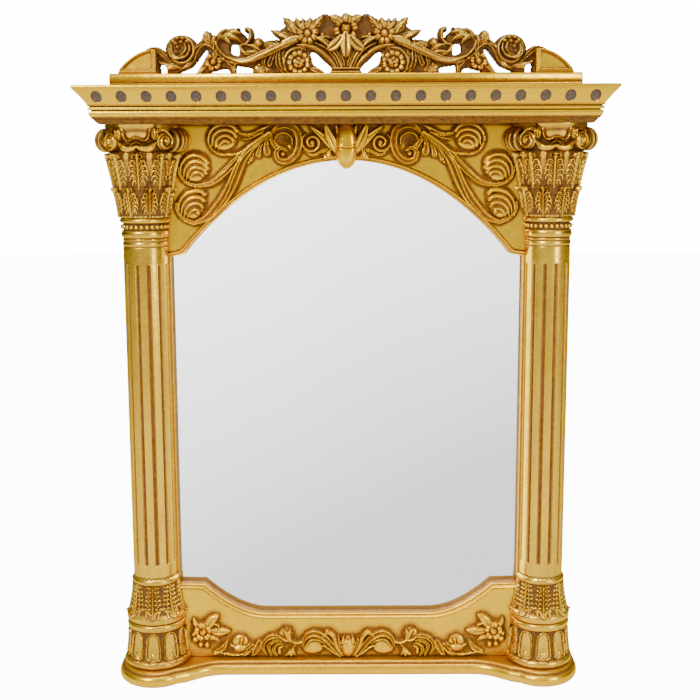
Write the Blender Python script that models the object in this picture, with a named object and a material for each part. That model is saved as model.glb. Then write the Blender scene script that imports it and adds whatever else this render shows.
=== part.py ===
"""Wall mirror in a carved and gilded column frame: fluted half columns, dimpled cornice, pierced floral crest.

Metres, +Z up, front towards -Y, the wall is the plane Y = 0. Heights below count from the underside of the
shelf, and an empty lowers the whole mirror so that the origin lies on the wall behind its top rail.
"""

import math

import bmesh
import bpy
import numpy as np
from mathutils import Matrix, Vector
from mathutils.geometry import delaunay_2d_cdt

MM = 0.001

# Overall levels, from the underside of the shelf
SHELF_THICK = 0.0245
CORNICE_BOTTOM_Z = 0.914
CORNICE_HEIGHT = 0.057
STRIP_HEIGHT = 0.0195
CREST_RISE = 0.0895
FIT_GAP = 0.0003
COLUMN_GAP = 0.0025

# Frame panel and its opening
PANEL_HALF_WIDTH = 0.356
PANEL_THICK = 0.030
OPENING_HALF_WIDTH = 0.2800
OPENING_TOP_Z = 0.858
SPRING_Z = 0.705
OPENING_BOTTOM_Z = 0.108
FOOT_CORNER_Z = 0.160
SPRING_SHOULDER = 0.017
FOOT_SHOULDER = 0.0385
FOOT_CURVE = 0.105
BEAD_WIDTH = 0.0095
BEAD_RISE = 0.006
QUIRK_WIDTH = 0.0024
QUIRK_DEPTH = 0.0022
ACORN_HALF_WIDTH = 0.0165
ACORN_DROP = 0.0135
REBATE_WIDTH = 0.009
REBATE_DEPTH = 0.0135

# Glass, back board and hangers
GLASS_THICK = 0.004
BOARD_THICK = 0.005
GLASS_CLEARANCE = 0.0015
HANGER_X = 0.215
HANGER_WIDTH = 0.042
HANGER_HEIGHT = 0.018
HANGER_THICK = 0.002
KEYHOLE_HEAD = 0.0085
KEYHOLE_SLOT = 0.0042
KEYHOLE_POCKET = 0.009

# Columns
COLUMN_X = 0.3225
COLUMN_AXIS_Y = -0.034
SHAFT_RADIUS = 0.0357
FLUTE_WIDTH = 0.0085
FLUTE_DEPTH = 0.0042
FLUTE_BOTTOM_Z = 0.197
FLUTE_TOP_Z = 0.697
SHAFT_BOTTOM_Z = 0.171
COLLAR_Z = 0.738
ASTRAGAL_Z = 0.765
CAPITAL_TOP_Z = CORNICE_BOTTOM_Z - FIT_GAP
CAPITAL_HALF_WIDTH = 0.0705
CAPITAL_DEPTH = 0.064
BASE_RADIUS = 0.055
BAND_Z = 0.098
BAND_RADIUS = 0.0485
LEAF_ZONE_Z = 0.110

# Cornice
CORNICE_HALF_WIDTH = 0.411
CORNICE_DEPTH = 0.135
CORNICE_SPREAD = 0.031
LIP_THICK = 0.005
SPLAY_HEIGHT = 0.024
DIMPLE_PITCH = 0.0375
DIMPLE_COUNT = 21
DIMPLE_DIAMETER = 0.0185
DIMPLE_DEPTH = 0.004

# Crest
STRIP_HALF_WIDTH = 0.363
STRIP_BACK_Y = -0.030
STRIP_FRONT_Y = -0.082
CREST_BACK_Y = -0.038
CREST_PLATE_THICK = 0.022
BLOCK_HALF_SPAN = 0.296

# Shelf
SHELF_HALF_WIDTH = 0.386
SHELF_FRONT_Y = -0.056
BULGE_FRONT_Y = -0.106
BULGE_INNER_X = 0.236
SHELF_NOSE = 0.008

# Hanging point: on the wall, halfway up the solid top rail
HANG_Z = (OPENING_TOP_Z + REBATE_WIDTH + CORNICE_BOTTOM_Z) / 2
PANEL_FRONT_Y = -PANEL_THICK
PANEL_TOP_Z = CORNICE_BOTTOM_Z - FIT_GAP
SHELF_TOP_Z = SHELF_THICK
CORNICE_TOP_Z = CORNICE_BOTTOM_Z + CORNICE_HEIGHT
STRIP_Z = CORNICE_TOP_Z + FIT_GAP
STRIP_TOP_Z = STRIP_Z + STRIP_HEIGHT
CREST_HALF_WIDTH = STRIP_HALF_WIDTH
SINK = 0.003
PANEL_FACETS = 0.28
CREST_FACETS = 0.36
DRAWING_MERGE = 0.0003
COLUMN_FACETS = 0.36

for old in list(bpy.data.objects):
    bpy.data.objects.remove(old, do_unlink=True)

hang = bpy.data.objects.new("hanging_height", None)
bpy.context.scene.collection.objects.link(hang)
hang.location = (0, 0, -HANG_Z)


# Materials
def material(name, colour, roughness, metallic):
    made = bpy.data.materials.new(name)
    made.use_nodes = True
    shader = made.node_tree.nodes["Principled BSDF"]
    shader.inputs["Base Color"].default_value = (*colour, 1)
    shader.inputs["Roughness"].default_value = roughness
    shader.inputs["Metallic"].default_value = metallic
    return made


GOLD = (0.62, 0.40, 0.09)


# Building solids from points and faces
def place(obj, parent=hang):
    obj.parent = parent
    return obj


def mesh_object(name, points, faces, smooth_angle=35):
    mesh = bpy.data.meshes.new(name)
    mesh.from_pydata([tuple(p) for p in points], [], [tuple(f) for f in faces])
    work = bmesh.new()
    work.from_mesh(mesh)
    bmesh.ops.remove_doubles(work, verts=work.verts, dist=1e-6)
    bmesh.ops.recalc_face_normals(work, faces=work.faces)
    bmesh.ops.triangulate(work, faces=[f for f in work.faces if len(f.verts) > 4])
    work.to_mesh(mesh)
    work.free()
    mesh.polygons.foreach_set("use_smooth", [True] * len(mesh.polygons))
    mesh.set_sharp_from_angle(angle=math.radians(smooth_angle))
    return bpy.data.objects.new(name, mesh)


def node(name, obj, mat, location=(0, 0, 0)):
    obj.name = name
    bpy.context.scene.collection.objects.link(obj)
    obj.location = location
    obj.data.materials.append(mat)
    return place(obj)


def guide(obj, collection, location=(0, 0, 0)):
    collection.objects.link(obj)
    obj.hide_render = True
    obj.display_type = "WIRE"
    obj.location = location
    return place(obj)


def group(name):
    made = bpy.data.collections.new(name)
    bpy.context.scene.collection.children.link(made)
    return made


def boolean(obj, operation, collection):
    made = obj.modifiers.new(operation.lower() + "_" + collection.name, "BOOLEAN")
    made.operation = operation
    made.operand_type = "COLLECTION"
    made.collection = collection
    made.solver = "EXACT"
    return made


def thinned(obj, share):
    """Keeps a share of the facets that the unions leave, flat ones going first."""
    made = obj.modifiers.new("thinned", "DECIMATE")
    made.decimate_type = "COLLAPSE"
    made.ratio = share
    made.use_collapse_triangulate = True
    return made


def loft(rings):
    """Joins rings of equally many points, with a cap on the first and on the last."""
    count = len(rings[0])
    points = [p for ring in rings for p in ring]
    faces = [tuple(range(count)), tuple(range(len(points) - count, len(points)))]
    for k in range(len(rings) - 1):
        for i in range(count):
            j = (i + 1) % count
            faces.append((k * count + i, k * count + j, (k + 1) * count + j, (k + 1) * count + i))
    return points, faces


def prism(outline, low, high, axis="y"):
    """An outline in X, Z carried through Y, or an outline in X, Y carried through Z."""
    if axis == "y":
        return loft([[(a, low, b) for a, b in outline], [(a, high, b) for a, b in outline]])
    return loft([[(a, b, low) for a, b in outline], [(a, b, high) for a, b in outline]])


def block(x0, x1, y0, y1, z0, z1):
    return prism([(x0, z0), (x1, z0), (x1, z1), (x0, z1)], y0, y1)


def half_turned(profile, segments, chord):
    """The front of a solid turned about Z, from radius and height pairs, with a flat back at Y = chord."""
    rings = []
    for radius, z in profile:
        end = math.pi / 2 + math.asin(chord / radius)
        ring = [end * (2 * k / segments - 1) for k in range(segments + 1)]
        rings.append([(radius * math.sin(a), -radius * math.cos(a), z) for a in ring])
    return loft(rings)


def mirrored(points, faces):
    return [(-x, y, z) for x, y, z in points], [tuple(reversed(f)) for f in faces]


# Lines on the drawing
def smooth_line(points, steps):
    """Catmull-Rom curve through the points."""
    ends = [Vector(p) for p in points]
    ends = [2 * ends[0] - ends[1]] + ends + [2 * ends[-1] - ends[-2]]
    spans = len(points) - 1
    line = []
    for k in range(steps + 1):
        t = k / steps * spans
        i = min(int(t), spans - 1)
        u = t - i
        a, b, c, d = ends[i : i + 4]
        line.append(0.5 * (2 * b + (c - a) * u + (2 * a - 5 * b + 4 * c - d) * u * u
                           + (3 * b - a - 3 * c + d) * u ** 3))
    return line


def spiral(centre, radius, start, turns, inner, steps):
    """A scroll that winds inwards from the start angle, in degrees, clockwise where turns are negative."""
    line = []
    for k in range(steps + 1):
        t = k / steps
        angle = math.radians(start) + 2 * math.pi * turns * t
        r = radius + (inner - radius) * t
        line.append(Vector((centre[0] + r * math.cos(angle), centre[1] + r * math.sin(angle))))
    return line


def carved(line, widths, rises, front, sides=5):
    """A ridge of relief along a line in X, Z: widths and rises are read evenly along it."""
    def read(values, t):
        k = min(int(t * (len(values) - 1)), len(values) - 2)
        u = t * (len(values) - 1) - k
        return values[k] * (1 - u) + values[k + 1] * u

    cross = {3: ((-1, -1), (0, 1), (1, -1)),
             4: ((-1, -1), (-0.55, 1), (0.55, 1), (1, -1)),
             5: ((-1, -1), (-0.72, 0.66), (0, 1), (0.72, 0.66), (1, -1))}[sides]
    rings = []
    last = len(line) - 1
    for k, at in enumerate(line):
        along = (line[min(k + 1, last)] - line[max(k - 1, 0)]).normalized()
        across = Vector((-along.y, along.x))
        half = read(widths, k / last) / 2
        rise = read(rises, k / last)
        ring = []
        for a, b in cross:
            spot = at + across * half * a
            ring.append((spot.x, front + SINK if b < 0 else front - rise * b, spot.y))
        rings.append(ring)
    return loft(rings)


def dome(centre, half_width, half_height, rise, front, segments=8):
    """A rounded boss."""
    loops = []
    for share, height in ((1.0, -1), (0.97, 0.35), (0.66, 0.82), (0.25, 1.0)):
        y = front + SINK if height < 0 else front - rise * height
        loops.append([(centre[0] + half_width * share * math.cos(2 * math.pi * (k + 0.5) / segments), y,
                       centre[1] + half_height * share * math.sin(2 * math.pi * (k + 0.5) / segments))
                      for k in range(segments)])
    return loft(loops)


# Relief drawn on a flat ground: each piece gives its lines on the drawing and its height at any point
def ridge(line, widths, rises, round_top=False):
    """A stem or leaf along a line, with its width and height read evenly along it."""
    profile = ((0, 1), (0.68, 0.72), (1, 0)) if round_top else ((0, 1), (1, 0))
    path = np.array([tuple(p) for p in line])
    count = len(path) - 1
    marks_w = np.linspace(0, 1, len(widths))
    marks_r = np.linspace(0, 1, len(rises))
    along = np.gradient(path, axis=0)
    along /= np.linalg.norm(along, axis=1)[:, None]
    across = np.stack([-along[:, 1], along[:, 0]], 1)
    half = np.interp(np.linspace(0, 1, count + 1), marks_w, widths) / 2
    lines = [path]
    for share, _ in profile[1:]:
        left = path + across * half[:, None] * share
        right = path - across * half[:, None] * share
        head = path[-1:] + along[-1:] * half[-1] * share
        tail = path[:1] - along[:1] * half[0] * share
        lines.append(np.concatenate([tail, left, head, right[::-1], tail]))

    def height(at):
        a, b = path[:-1], path[1:]
        ab = b - a
        t = np.clip(((at[:, None] - a) * ab).sum(-1) / (ab * ab).sum(-1), 0, 1)
        spot = a + t[..., None] * ab
        where = (np.arange(count) + t) / count
        share = np.linalg.norm(at[:, None] - spot, axis=-1) / (np.interp(where, marks_w, widths) / 2)
        best = share.argmin(1)
        rows = np.arange(len(at))
        share, where = share[rows, best], where[rows, best]
        return np.interp(share, [p[0] for p in profile], [p[1] for p in profile]) * np.interp(where, marks_r, rises)

    return lines, height


def leaf(base, tip, width, rise, bend=0.0, steps=3):
    """A pointed leaf with a ridge, bent sideways by a share of its length."""
    base, tip = Vector(base), Vector(tip)
    along = tip - base
    middle = (base + tip) / 2 + Vector((-along.y, along.x)) * bend
    return ridge(smooth_line([base, middle, tip], steps), (0.35 * width, width, 0.75 * width, 0.12 * width),
                 (0.6 * rise, rise, 0.5 * rise))


def rosette(centre, radius, petals, rise, turn=0.0, hub=0.34):
    """A flower seen from the front: petals with notches between them round a raised boss."""
    count = petals * 2
    angles = 2 * math.pi * (np.arange(count) + turn) / count
    spread = np.where(np.arange(count) % 2 == 0, 1.0, 0.78)
    profile = ((0, 1.0), (hub * 0.75, 0.95), (hub * 1.2, 0.45), (0.66, 0.85), (0.9, 0.6), (1, 0))
    lines = []
    for share, _ in profile[1:]:
        if share == 0.9:
            continue
        reach = radius * share * (spread if share > 0.6 else np.ones(count))
        loop = np.stack([centre[0] + reach * np.cos(angles), centre[1] + reach * np.sin(angles)], 1)
        lines.append(np.concatenate([loop, loop[:1]]))
    lines.append(np.array([[centre[0], centre[1]]]))

    def height(at):
        away = at - np.array(centre)
        angle = np.arctan2(away[:, 1], away[:, 0])
        place_on = (angle / (2 * math.pi) * count - turn) % count
        edge = np.interp(place_on, np.arange(count + 1), np.append(spread, spread[0]))
        reach = np.linalg.norm(away, axis=1) / radius
        share = reach / np.where(reach > 0.5, edge, 1)
        return np.interp(share, [p[0] for p in profile], [p[1] for p in profile]) * rise

    return lines, height


def boss(centre, half_width, half_height, rise, segments=8):
    """A rounded boss on the flat ground."""
    profile = ((0, 1), (0.6, 0.86), (0.9, 0.45), (1, 0))
    angles = 2 * math.pi * (np.arange(segments + 1) + 0.5) / segments
    lines = [np.array([[centre[0], centre[1]]])]
    for share in (0.62, 1):
        lines.append(np.stack([centre[0] + half_width * share * np.cos(angles),
                               centre[1] + half_height * share * np.sin(angles)], 1))

    def height(at):
        share = np.hypot((at[:, 0] - centre[0]) / half_width, (at[:, 1] - centre[1]) / half_height)
        return np.interp(share, [p[0] for p in profile], [p[1] for p in profile]) * rise

    return lines, height


def draw(pieces, piece, both_sides=True):
    pieces.append(piece)
    if both_sides:
        lines, height = piece
        flip = np.array([-1.0, 1.0])
        pieces.append(([line * flip for line in lines], lambda at: height(at * flip)))


def inside(at, loop):
    """Which points lie inside a closed loop."""
    a = np.array(loop)
    b = np.roll(a, -1, axis=0)
    x, z = at[:, 0][:, None], at[:, 1][:, None]
    crosses = (a[:, 1] > z) != (b[:, 1] > z)
    with np.errstate(divide="ignore", invalid="ignore"):
        cut = a[:, 0] + (z - a[:, 1]) * (b[:, 0] - a[:, 0]) / (b[:, 1] - a[:, 1])
    return (crosses & (x < cut)).sum(1) % 2 == 1


def triangles(loops, lines, outline, holes):
    """Triangles of a flat outline with holes, cut along the lines of its drawing."""
    points, edges = [], []
    for line in loops:
        start = len(points)
        points += [tuple(p) for p in line]
        edges += [(start + k, start + (k + 1) % len(line)) for k in range(len(line))]
    for line in lines:
        start = len(points)
        points += [tuple(p) for p in line]
        edges += [(start + k, start + k + 1) for k in range(len(line) - 1)]
    made = delaunay_2d_cdt([Vector(p) for p in points], edges, [], 0, DRAWING_MERGE)
    flat = np.array([tuple(p) for p in made[0]])
    faces = np.array(made[2])
    middle = flat[faces].mean(1)
    keep = inside(middle, outline)
    for hole in holes:
        keep &= ~inside(middle, hole)
    return flat, faces[keep]


def relief_plate(outline, holes, pieces, back, front, beyond=None):
    """A flat-backed plate whose front rises with its relief: one closed body."""
    lines = [line for piece in pieces for line in piece[0]]
    flat, faces = triangles([outline] + holes, lines, outline, holes)
    used = np.unique(faces)
    renumber = np.full(len(flat), -1)
    renumber[used] = np.arange(len(used))
    flat, faces = flat[used], renumber[faces]
    rise = np.zeros(len(flat))
    for _, height in pieces:
        rise = np.maximum(rise, height(flat))
    if beyond:
        rise = beyond(flat, rise)
    count = {}
    for face in faces:
        for a, b in zip(face, np.roll(face, -1)):
            key = (min(a, b), max(a, b))
            count[key] = count.get(key, 0) + 1
    rim = [key for key, times in count.items() if times == 1]
    start = len(flat)
    points = [(x, front - up, z) for (x, z), up in zip(flat, rise)] + [(x, back, z) for x, z in flat]
    solid = [tuple(f) for f in faces] + [tuple(start + v for v in f[::-1]) for f in faces]
    solid += [(a, b, start + b, start + a) for a, b in rim]
    return points, solid


def carve(collection, name, shape, both_sides=True, location=(0, 0, 0)):
    guide(mesh_object(name, *shape), collection, location)
    if both_sides:
        other = (-location[0], location[1], location[2])
        guide(mesh_object(name + "_right", *mirrored(*shape)), collection, other)


# Outline of the opening
def opening(offset=0.0):
    """The outline of the opening, half by half, moved outwards by an offset."""
    def curve(a, b, c, d, steps):
        line = []
        for k in range(steps + 1):
            t = k / steps
            u = 1 - t
            line.append(Vector(a) * u ** 3 + Vector(b) * 3 * u * u * t + Vector(c) * 3 * u * t * t
                        + Vector(d) * t ** 3)
        return line

    w = OPENING_HALF_WIDTH
    rise = OPENING_TOP_Z - SPRING_Z
    drop = FOOT_CORNER_Z - OPENING_BOTTOM_Z
    left = [Vector((-w + FOOT_SHOULDER + FOOT_CURVE + 0.012, OPENING_BOTTOM_Z))]
    foot_x = -w + FOOT_SHOULDER
    left += reversed(curve((foot_x, FOOT_CORNER_Z), (foot_x + FOOT_CURVE * 0.36, FOOT_CORNER_Z - drop * 0.66),
                           (foot_x + FOOT_CURVE * 0.7, OPENING_BOTTOM_Z),
                           (foot_x + FOOT_CURVE, OPENING_BOTTOM_Z), 7))
    left.append(Vector((-w, FOOT_CORNER_Z + 0.001)))
    left.append(Vector((-w, SPRING_Z)))
    arch_x = -w + SPRING_SHOULDER
    left += curve((arch_x, SPRING_Z + 0.004), (arch_x * 0.765, SPRING_Z + rise * 0.53),
                  (arch_x * 0.42, OPENING_TOP_Z), (0, OPENING_TOP_Z), 14)
    loop = left + [Vector((-p.x, p.y)) for p in reversed(left[:-1])]
    if not offset:
        return [tuple(p) for p in loop]
    moved = []
    for k, at in enumerate(loop):
        before = (at - loop[k - 1]).normalized()
        after = (loop[(k + 1) % len(loop)] - at).normalized()
        middle = (before + after).normalized()
        normal = Vector((-middle.y, middle.x))
        moved.append(tuple(at + normal * offset / max(0.75, middle.dot(after))))
    return moved


# Where the carving lies: shares of the opening's half width and of the height of its own zone
def spandrel_at(s, t):
    return (s * OPENING_HALF_WIDTH, SPRING_Z + t * (CORNICE_BOTTOM_Z - SPRING_Z))


def rail_at(s, t):
    return (s * OPENING_HALF_WIDTH, SHELF_TOP_Z + t * (OPENING_BOTTOM_Z - SHELF_TOP_Z))


def crest_at(s, t):
    return (s * CREST_HALF_WIDTH, STRIP_TOP_Z + t * CREST_RISE)


def spots(where, *shares):
    return [where(s, t) for s, t in shares]


# Profile of the columns
def bell(z):
    """Radius of the capital's bell at a height."""
    low, high = ASTRAGAL_Z + 0.006, CAPITAL_TOP_Z - 0.012
    t = min(max((z - low) / (high - low), 0), 1)
    return 0.039 + 0.019 * t ** 1.6


def foot(z):
    """Radius of the leafy foot at a height."""
    t = min(max((SHAFT_BOTTOM_Z - z) / (SHAFT_BOTTOM_Z - LEAF_ZONE_Z), 0), 1)
    return SHAFT_RADIUS + 0.0005 + 0.0095 * t ** 2.2


def skirt(z):
    """Radius of the lobed base at a height."""
    t = (BAND_Z - z) / (BAND_Z - SHELF_TOP_Z)
    return BAND_RADIUS - 0.005 + 0.005 * t * t


body = []
r0 = BASE_RADIUS
z0 = SHELF_TOP_Z + FIT_GAP
body += [(r0 - 0.004, z0), (r0, z0 + 0.004), (r0, z0 + 0.008), (r0 - 0.003, z0 + 0.0115)]
body += [(skirt(z0 + 0.0125), z0 + 0.0125), (skirt(0.060), 0.060), (skirt(BAND_Z - 0.014), BAND_Z - 0.014)]
body += [(BAND_RADIUS, BAND_Z - 0.013), (BAND_RADIUS + 0.0005, BAND_Z - 0.002), (BAND_RADIUS - 0.002, BAND_Z),
         (BAND_RADIUS - 0.0005, BAND_Z + 0.002), (BAND_RADIUS - 0.0005, BAND_Z + 0.010),
         (foot(LEAF_ZONE_Z) + 0.0005, LEAF_ZONE_Z)]
body += [(foot(z), z) for z in (LEAF_ZONE_Z + 0.016, LEAF_ZONE_Z + 0.034)]
body += [(SHAFT_RADIUS + 0.0005, SHAFT_BOTTOM_Z - 0.011), (SHAFT_RADIUS + 0.0035, SHAFT_BOTTOM_Z - 0.007),
         (SHAFT_RADIUS + 0.0035, SHAFT_BOTTOM_Z - 0.003), (SHAFT_RADIUS, SHAFT_BOTTOM_Z)]
body += [(SHAFT_RADIUS, COLLAR_Z - 0.015), (SHAFT_RADIUS - 0.0015, COLLAR_Z - 0.0135),
         (SHAFT_RADIUS + 0.0005, COLLAR_Z - 0.012), (SHAFT_RADIUS + 0.0005, COLLAR_Z - 0.006),
         (SHAFT_RADIUS - 0.001, COLLAR_Z - 0.0045), (SHAFT_RADIUS + 0.002, COLLAR_Z - 0.003),
         (SHAFT_RADIUS + 0.0025, COLLAR_Z + 0.014), (SHAFT_RADIUS + 0.0005, COLLAR_Z + 0.0155),
         (SHAFT_RADIUS + 0.0005, ASTRAGAL_Z - 0.006), (SHAFT_RADIUS + 0.004, ASTRAGAL_Z - 0.004),
         (SHAFT_RADIUS + 0.004, ASTRAGAL_Z + 0.002), (0.0385, ASTRAGAL_Z + 0.004)]
body += [(bell(z), z) for z in (ASTRAGAL_Z + 0.045, ASTRAGAL_Z + 0.085, CAPITAL_TOP_Z - 0.012)]


def column_reach(z):
    """How far a column and its carving reach to the side at a height."""
    levels, radii = [p[1] for p in body], [p[0] for p in body]
    reach = np.maximum(np.interp(z - 0.003, levels, radii), np.interp(z + 0.003, levels, radii))
    proud = np.where((z > ASTRAGAL_Z) | (z < LEAF_ZONE_Z), 0.0105, 0.0012)
    proud = np.where(z < BAND_Z, 0.001, np.where(z < SHAFT_BOTTOM_Z - 0.012, 0.0045, proud))
    return np.where(z > CAPITAL_TOP_Z - 0.047, CAPITAL_HALF_WIDTH + 0.002, reach + proud)


# Frame panel with its opening, sight bead and relief
panel_relief = []
bead_profile = ((0, 0.5), (0.25, 0.85), (0.5, 1.0), (0.85, 0.6), (1.0, 0.0))
F = PANEL_FRONT_Y


def nearest(at, loop):
    """Distance of each point from a closed loop."""
    a = np.array(loop)
    ab = np.roll(a, -1, axis=0) - a
    t = np.clip(((at[:, None] - a) * ab).sum(-1) / (ab * ab).sum(-1), 0, 1)
    return np.linalg.norm(at[:, None] - a - t[..., None] * ab, axis=-1).min(1)


def sight_bead():
    """The rounded bead round the opening."""
    loops = [np.array(opening(BEAD_WIDTH * share)) for share, _ in bead_profile[2:]]
    edge = opening()

    def height(at):
        share = nearest(at, edge) / BEAD_WIDTH
        return np.interp(share, [p[0] for p in bead_profile], [p[1] for p in bead_profile]) * BEAD_RISE

    return [np.concatenate([loop, loop[:1]]) for loop in loops], height


draw(panel_relief, sight_bead(), False)


def clear_of_columns(at, rise):
    """The relief stops where a column stands on the panel."""
    return np.where(np.abs(at[:, 0]) > COLUMN_X - column_reach(at[:, 1]) - COLUMN_GAP - 0.0001, 0, rise)


def column_lines():
    """Lines on the drawing along the inner edge of a column."""
    heights = np.array([SHELF_TOP_Z - 0.01, 0.037, 0.060, BAND_Z - 0.001, BAND_Z + 0.001, LEAF_ZONE_Z - 0.001,
                        LEAF_ZONE_Z + 0.016, LEAF_ZONE_Z + 0.034, SHAFT_BOTTOM_Z - 0.014, SHAFT_BOTTOM_Z - 0.008,
                        SHAFT_BOTTOM_Z - 0.001, SHAFT_BOTTOM_Z + 0.004, COLLAR_Z - 0.004, COLLAR_Z,
                        ASTRAGAL_Z - 0.001, ASTRAGAL_Z + 0.001, ASTRAGAL_Z + 0.045, ASTRAGAL_Z + 0.085,
                        CAPITAL_TOP_Z - 0.048, CAPITAL_TOP_Z - 0.046, CAPITAL_TOP_Z + 0.01])
    lines = []
    for gap in (COLUMN_GAP, COLUMN_GAP + 0.001):
        lines.append(np.stack([-(COLUMN_X - column_reach(heights) - gap), heights], 1))
    return lines, lambda at: np.zeros(len(at))


draw(panel_relief, column_lines())

# Spandrel relief: three fan scrolls on long stems, a C scroll with drops, and the acorn
for name, centre, radius, start, turns in (("fan_top", spandrel_at(*(-0.688, 0.906)), 0.0235, -62, -0.78),
                                           ("fan_middle", spandrel_at(*(-0.858, 0.665)), 0.0215, -60, -0.74),
                                           ("fan_low", spandrel_at(*(-0.885, 0.400)), 0.0225, -62, -0.74)):
    draw(panel_relief, boss(centre, radius, radius, 0.004))
    draw(panel_relief, ridge(spiral(centre, radius * 0.9, start, turns, radius * 0.8, 8),
                                        (0.007, 0.006, 0.004), (0.008, 0.008, 0.006)))
    for k in range(3):
        reach = radius * (0.62 - 0.21 * k)
        draw(panel_relief, ridge(spiral(centre, reach, -75 + 20 * k, 0.42, reach * 1.2, 4),
                     (0.003, 0.0065, 0.006, 0.003), (0.005, 0.0095, 0.008)))
for name, line, widths in (
    ("stem_top", spots(spandrel_at, (-0.672, 0.793), (-0.604, 0.816), (-0.535, 0.883), (-0.467, 0.936)), (0.008, 0.011, 0.012, 0.006)),
    ("stem_middle", spots(spandrel_at, (-0.817, 0.552), (-0.725, 0.643), (-0.638, 0.771), (-0.547, 0.876), (-0.456, 0.958)),
     (0.008, 0.013, 0.013, 0.006)),
    ("stem_low", spots(spandrel_at, (-0.844, 0.278), (-0.728, 0.385), (-0.629, 0.567), (-0.571, 0.741), (-0.496, 0.861), (-0.399, 0.958)),
     (0.010, 0.016, 0.016, 0.010, 0.006)),
    ("c_scroll", spots(spandrel_at, (-0.444, 0.958), (-0.371, 0.995), (-0.298, 0.966), (-0.267, 0.883), (-0.288, 0.771), (-0.339, 0.718)),
     (0.007, 0.011, 0.012, 0.009)),
    ("drop_a", spots(spandrel_at, (-0.377, 0.951), (-0.411, 0.898), (-0.417, 0.823)), (0.006, 0.008, 0.010)),
    ("drop_b", spots(spandrel_at, (-0.422, 0.913), (-0.462, 0.846), (-0.480, 0.778)), (0.006, 0.008, 0.009)),
    ("drop_c", spots(spandrel_at, (-0.473, 0.868), (-0.508, 0.801), (-0.537, 0.726)), (0.005, 0.007, 0.007)),
    ("side_stem", spots(spandrel_at, (-0.213, 0.943), (-0.140, 0.958), (-0.050, 0.988)), (0.006, 0.007, 0.005)),
):
    draw(panel_relief, ridge(smooth_line(line, 6), widths, (0.006, 0.0095, 0.0095, 0.006)))
draw(panel_relief, ridge(spiral(spandrel_at(*(-0.355, 0.786)), 0.0125, 95, 1.25, 0.002, 9),
                               (0.006, 0.0055, 0.004), (0.0095, 0.009, 0.010)))
draw(panel_relief, ridge(spiral(spandrel_at(*(-0.191, 0.876)), 0.0145, -40, -1.35, 0.003, 9),
                                     (0.006, 0.006, 0.004), (0.008, 0.009, 0.010)))
draw(panel_relief, leaf(spandrel_at(*(-0.073, 0.838)), spandrel_at(*(-0.123, 1.025)), 0.016, 0.011))
draw(panel_relief, leaf(spandrel_at(*(-0.061, 0.786)), spandrel_at(*(-0.174, 0.913)), 0.014, 0.010))
draw(panel_relief, boss(spandrel_at(*(-0.107, 0.756)), 0.008, 0.0105, 0.009))
draw(panel_relief, boss(spandrel_at(*(-0.002, 0.883)), 0.0185, 0.0285, 0.016), False)
draw(panel_relief, boss(spandrel_at(*(-0.002, 0.771)), 0.0175, 0.0165, 0.018), False)
draw(panel_relief, ridge([Vector(spandrel_at(*(-0.002, 0.741))), Vector(spandrel_at(*(-0.002, 0.669)))],
                                  (0.022, 0.003), (0.014, 0.008)), False)

# Bottom rail relief: a flower at each end, sprays of leaves, buds and the middle vase
draw(panel_relief, rosette(rail_at(*(-0.866, 0.492)), 0.019, 6, 0.012, 0.5))
for name, base, tip, width, bend in (
    ("flower_leaf_high", rail_at(*(-0.835, 0.641)), rail_at(*(-0.756, 0.854)), 0.017, 0.15),
    ("flower_leaf_side", rail_at(*(-0.800, 0.535)), rail_at(*(-0.679, 0.577)), 0.014, -0.15),
    ("spray_a", rail_at(*(-0.536, 0.385)), rail_at(*(-0.622, 0.042)), 0.010, 0.1),
    ("spray_b", rail_at(*(-0.488, 0.385)), rail_at(*(-0.561, 0.063)), 0.011, 0.1),
    ("bud_high", rail_at(*(-0.338, 0.299)), rail_at(*(-0.397, 0.663)), 0.021, 0.0),
    ("bud_low", rail_at(*(-0.320, 0.278)), rail_at(*(-0.362, 0.020)), 0.018, 0.0),
    ("curled_leaf", rail_at(*(-0.265, 0.278)), rail_at(*(-0.078, 0.513)), 0.018, 0.2),
    ("curled_leaf_low", rail_at(*(-0.199, 0.364)), rail_at(*(-0.085, 0.063)), 0.011, 0.2),
    ("vase_leaf", rail_at(*(-0.073, 0.063)), rail_at(*(-0.084, 0.535)), 0.012, 0.1),
):
    draw(panel_relief, leaf(base, tip, width, 0.010, bend))
for k in range(3):
    base = rail_at(*(-0.380, 0.171))
    tip = spots(rail_at, (-0.476, 0.385), (-0.506, 0.235), (-0.489, 0.085))[k]
    draw(panel_relief, leaf(base, tip, 0.009, 0.010, 0.35))
draw(panel_relief, boss(rail_at(*(-0.650, 0.342)), 0.0165, 0.015, 0.009))
draw(panel_relief, ridge(smooth_line(spots(rail_at, (-0.808, 0.149), (-0.736, 0.171), (-0.645, 0.106), (-0.542, 0.235)), 5),
                                    (0.006, 0.010, 0.007), (0.006, 0.010, 0.008)))
draw(panel_relief, boss(rail_at(*(-0.003, 0.256)), 0.0125, 0.0195, 0.013), False)
sight = opening()
apex = min(range(len(sight)), key=lambda k: (abs(sight[k][0]), -sight[k][1]))
tip = [(s * ACORN_HALF_WIDTH, OPENING_TOP_Z - t * ACORN_DROP) for s, t in ((-1, 0), (-0.72, 0.5), (0, 1), (0.72, 0.5),
                                                                          (1, 0))]
sight = ([p for p in sight[:apex] if p[0] < -ACORN_HALF_WIDTH - 0.003 or p[1] < SPRING_Z] + tip
         + [p for p in sight[apex + 1:] if p[0] > ACORN_HALF_WIDTH + 0.003 or p[1] < SPRING_Z])
outer = [(-PANEL_HALF_WIDTH, SHELF_TOP_Z + FIT_GAP), (PANEL_HALF_WIDTH, SHELF_TOP_Z + FIT_GAP),
         (PANEL_HALF_WIDTH, PANEL_TOP_Z), (-PANEL_HALF_WIDTH, PANEL_TOP_Z)]
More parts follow.
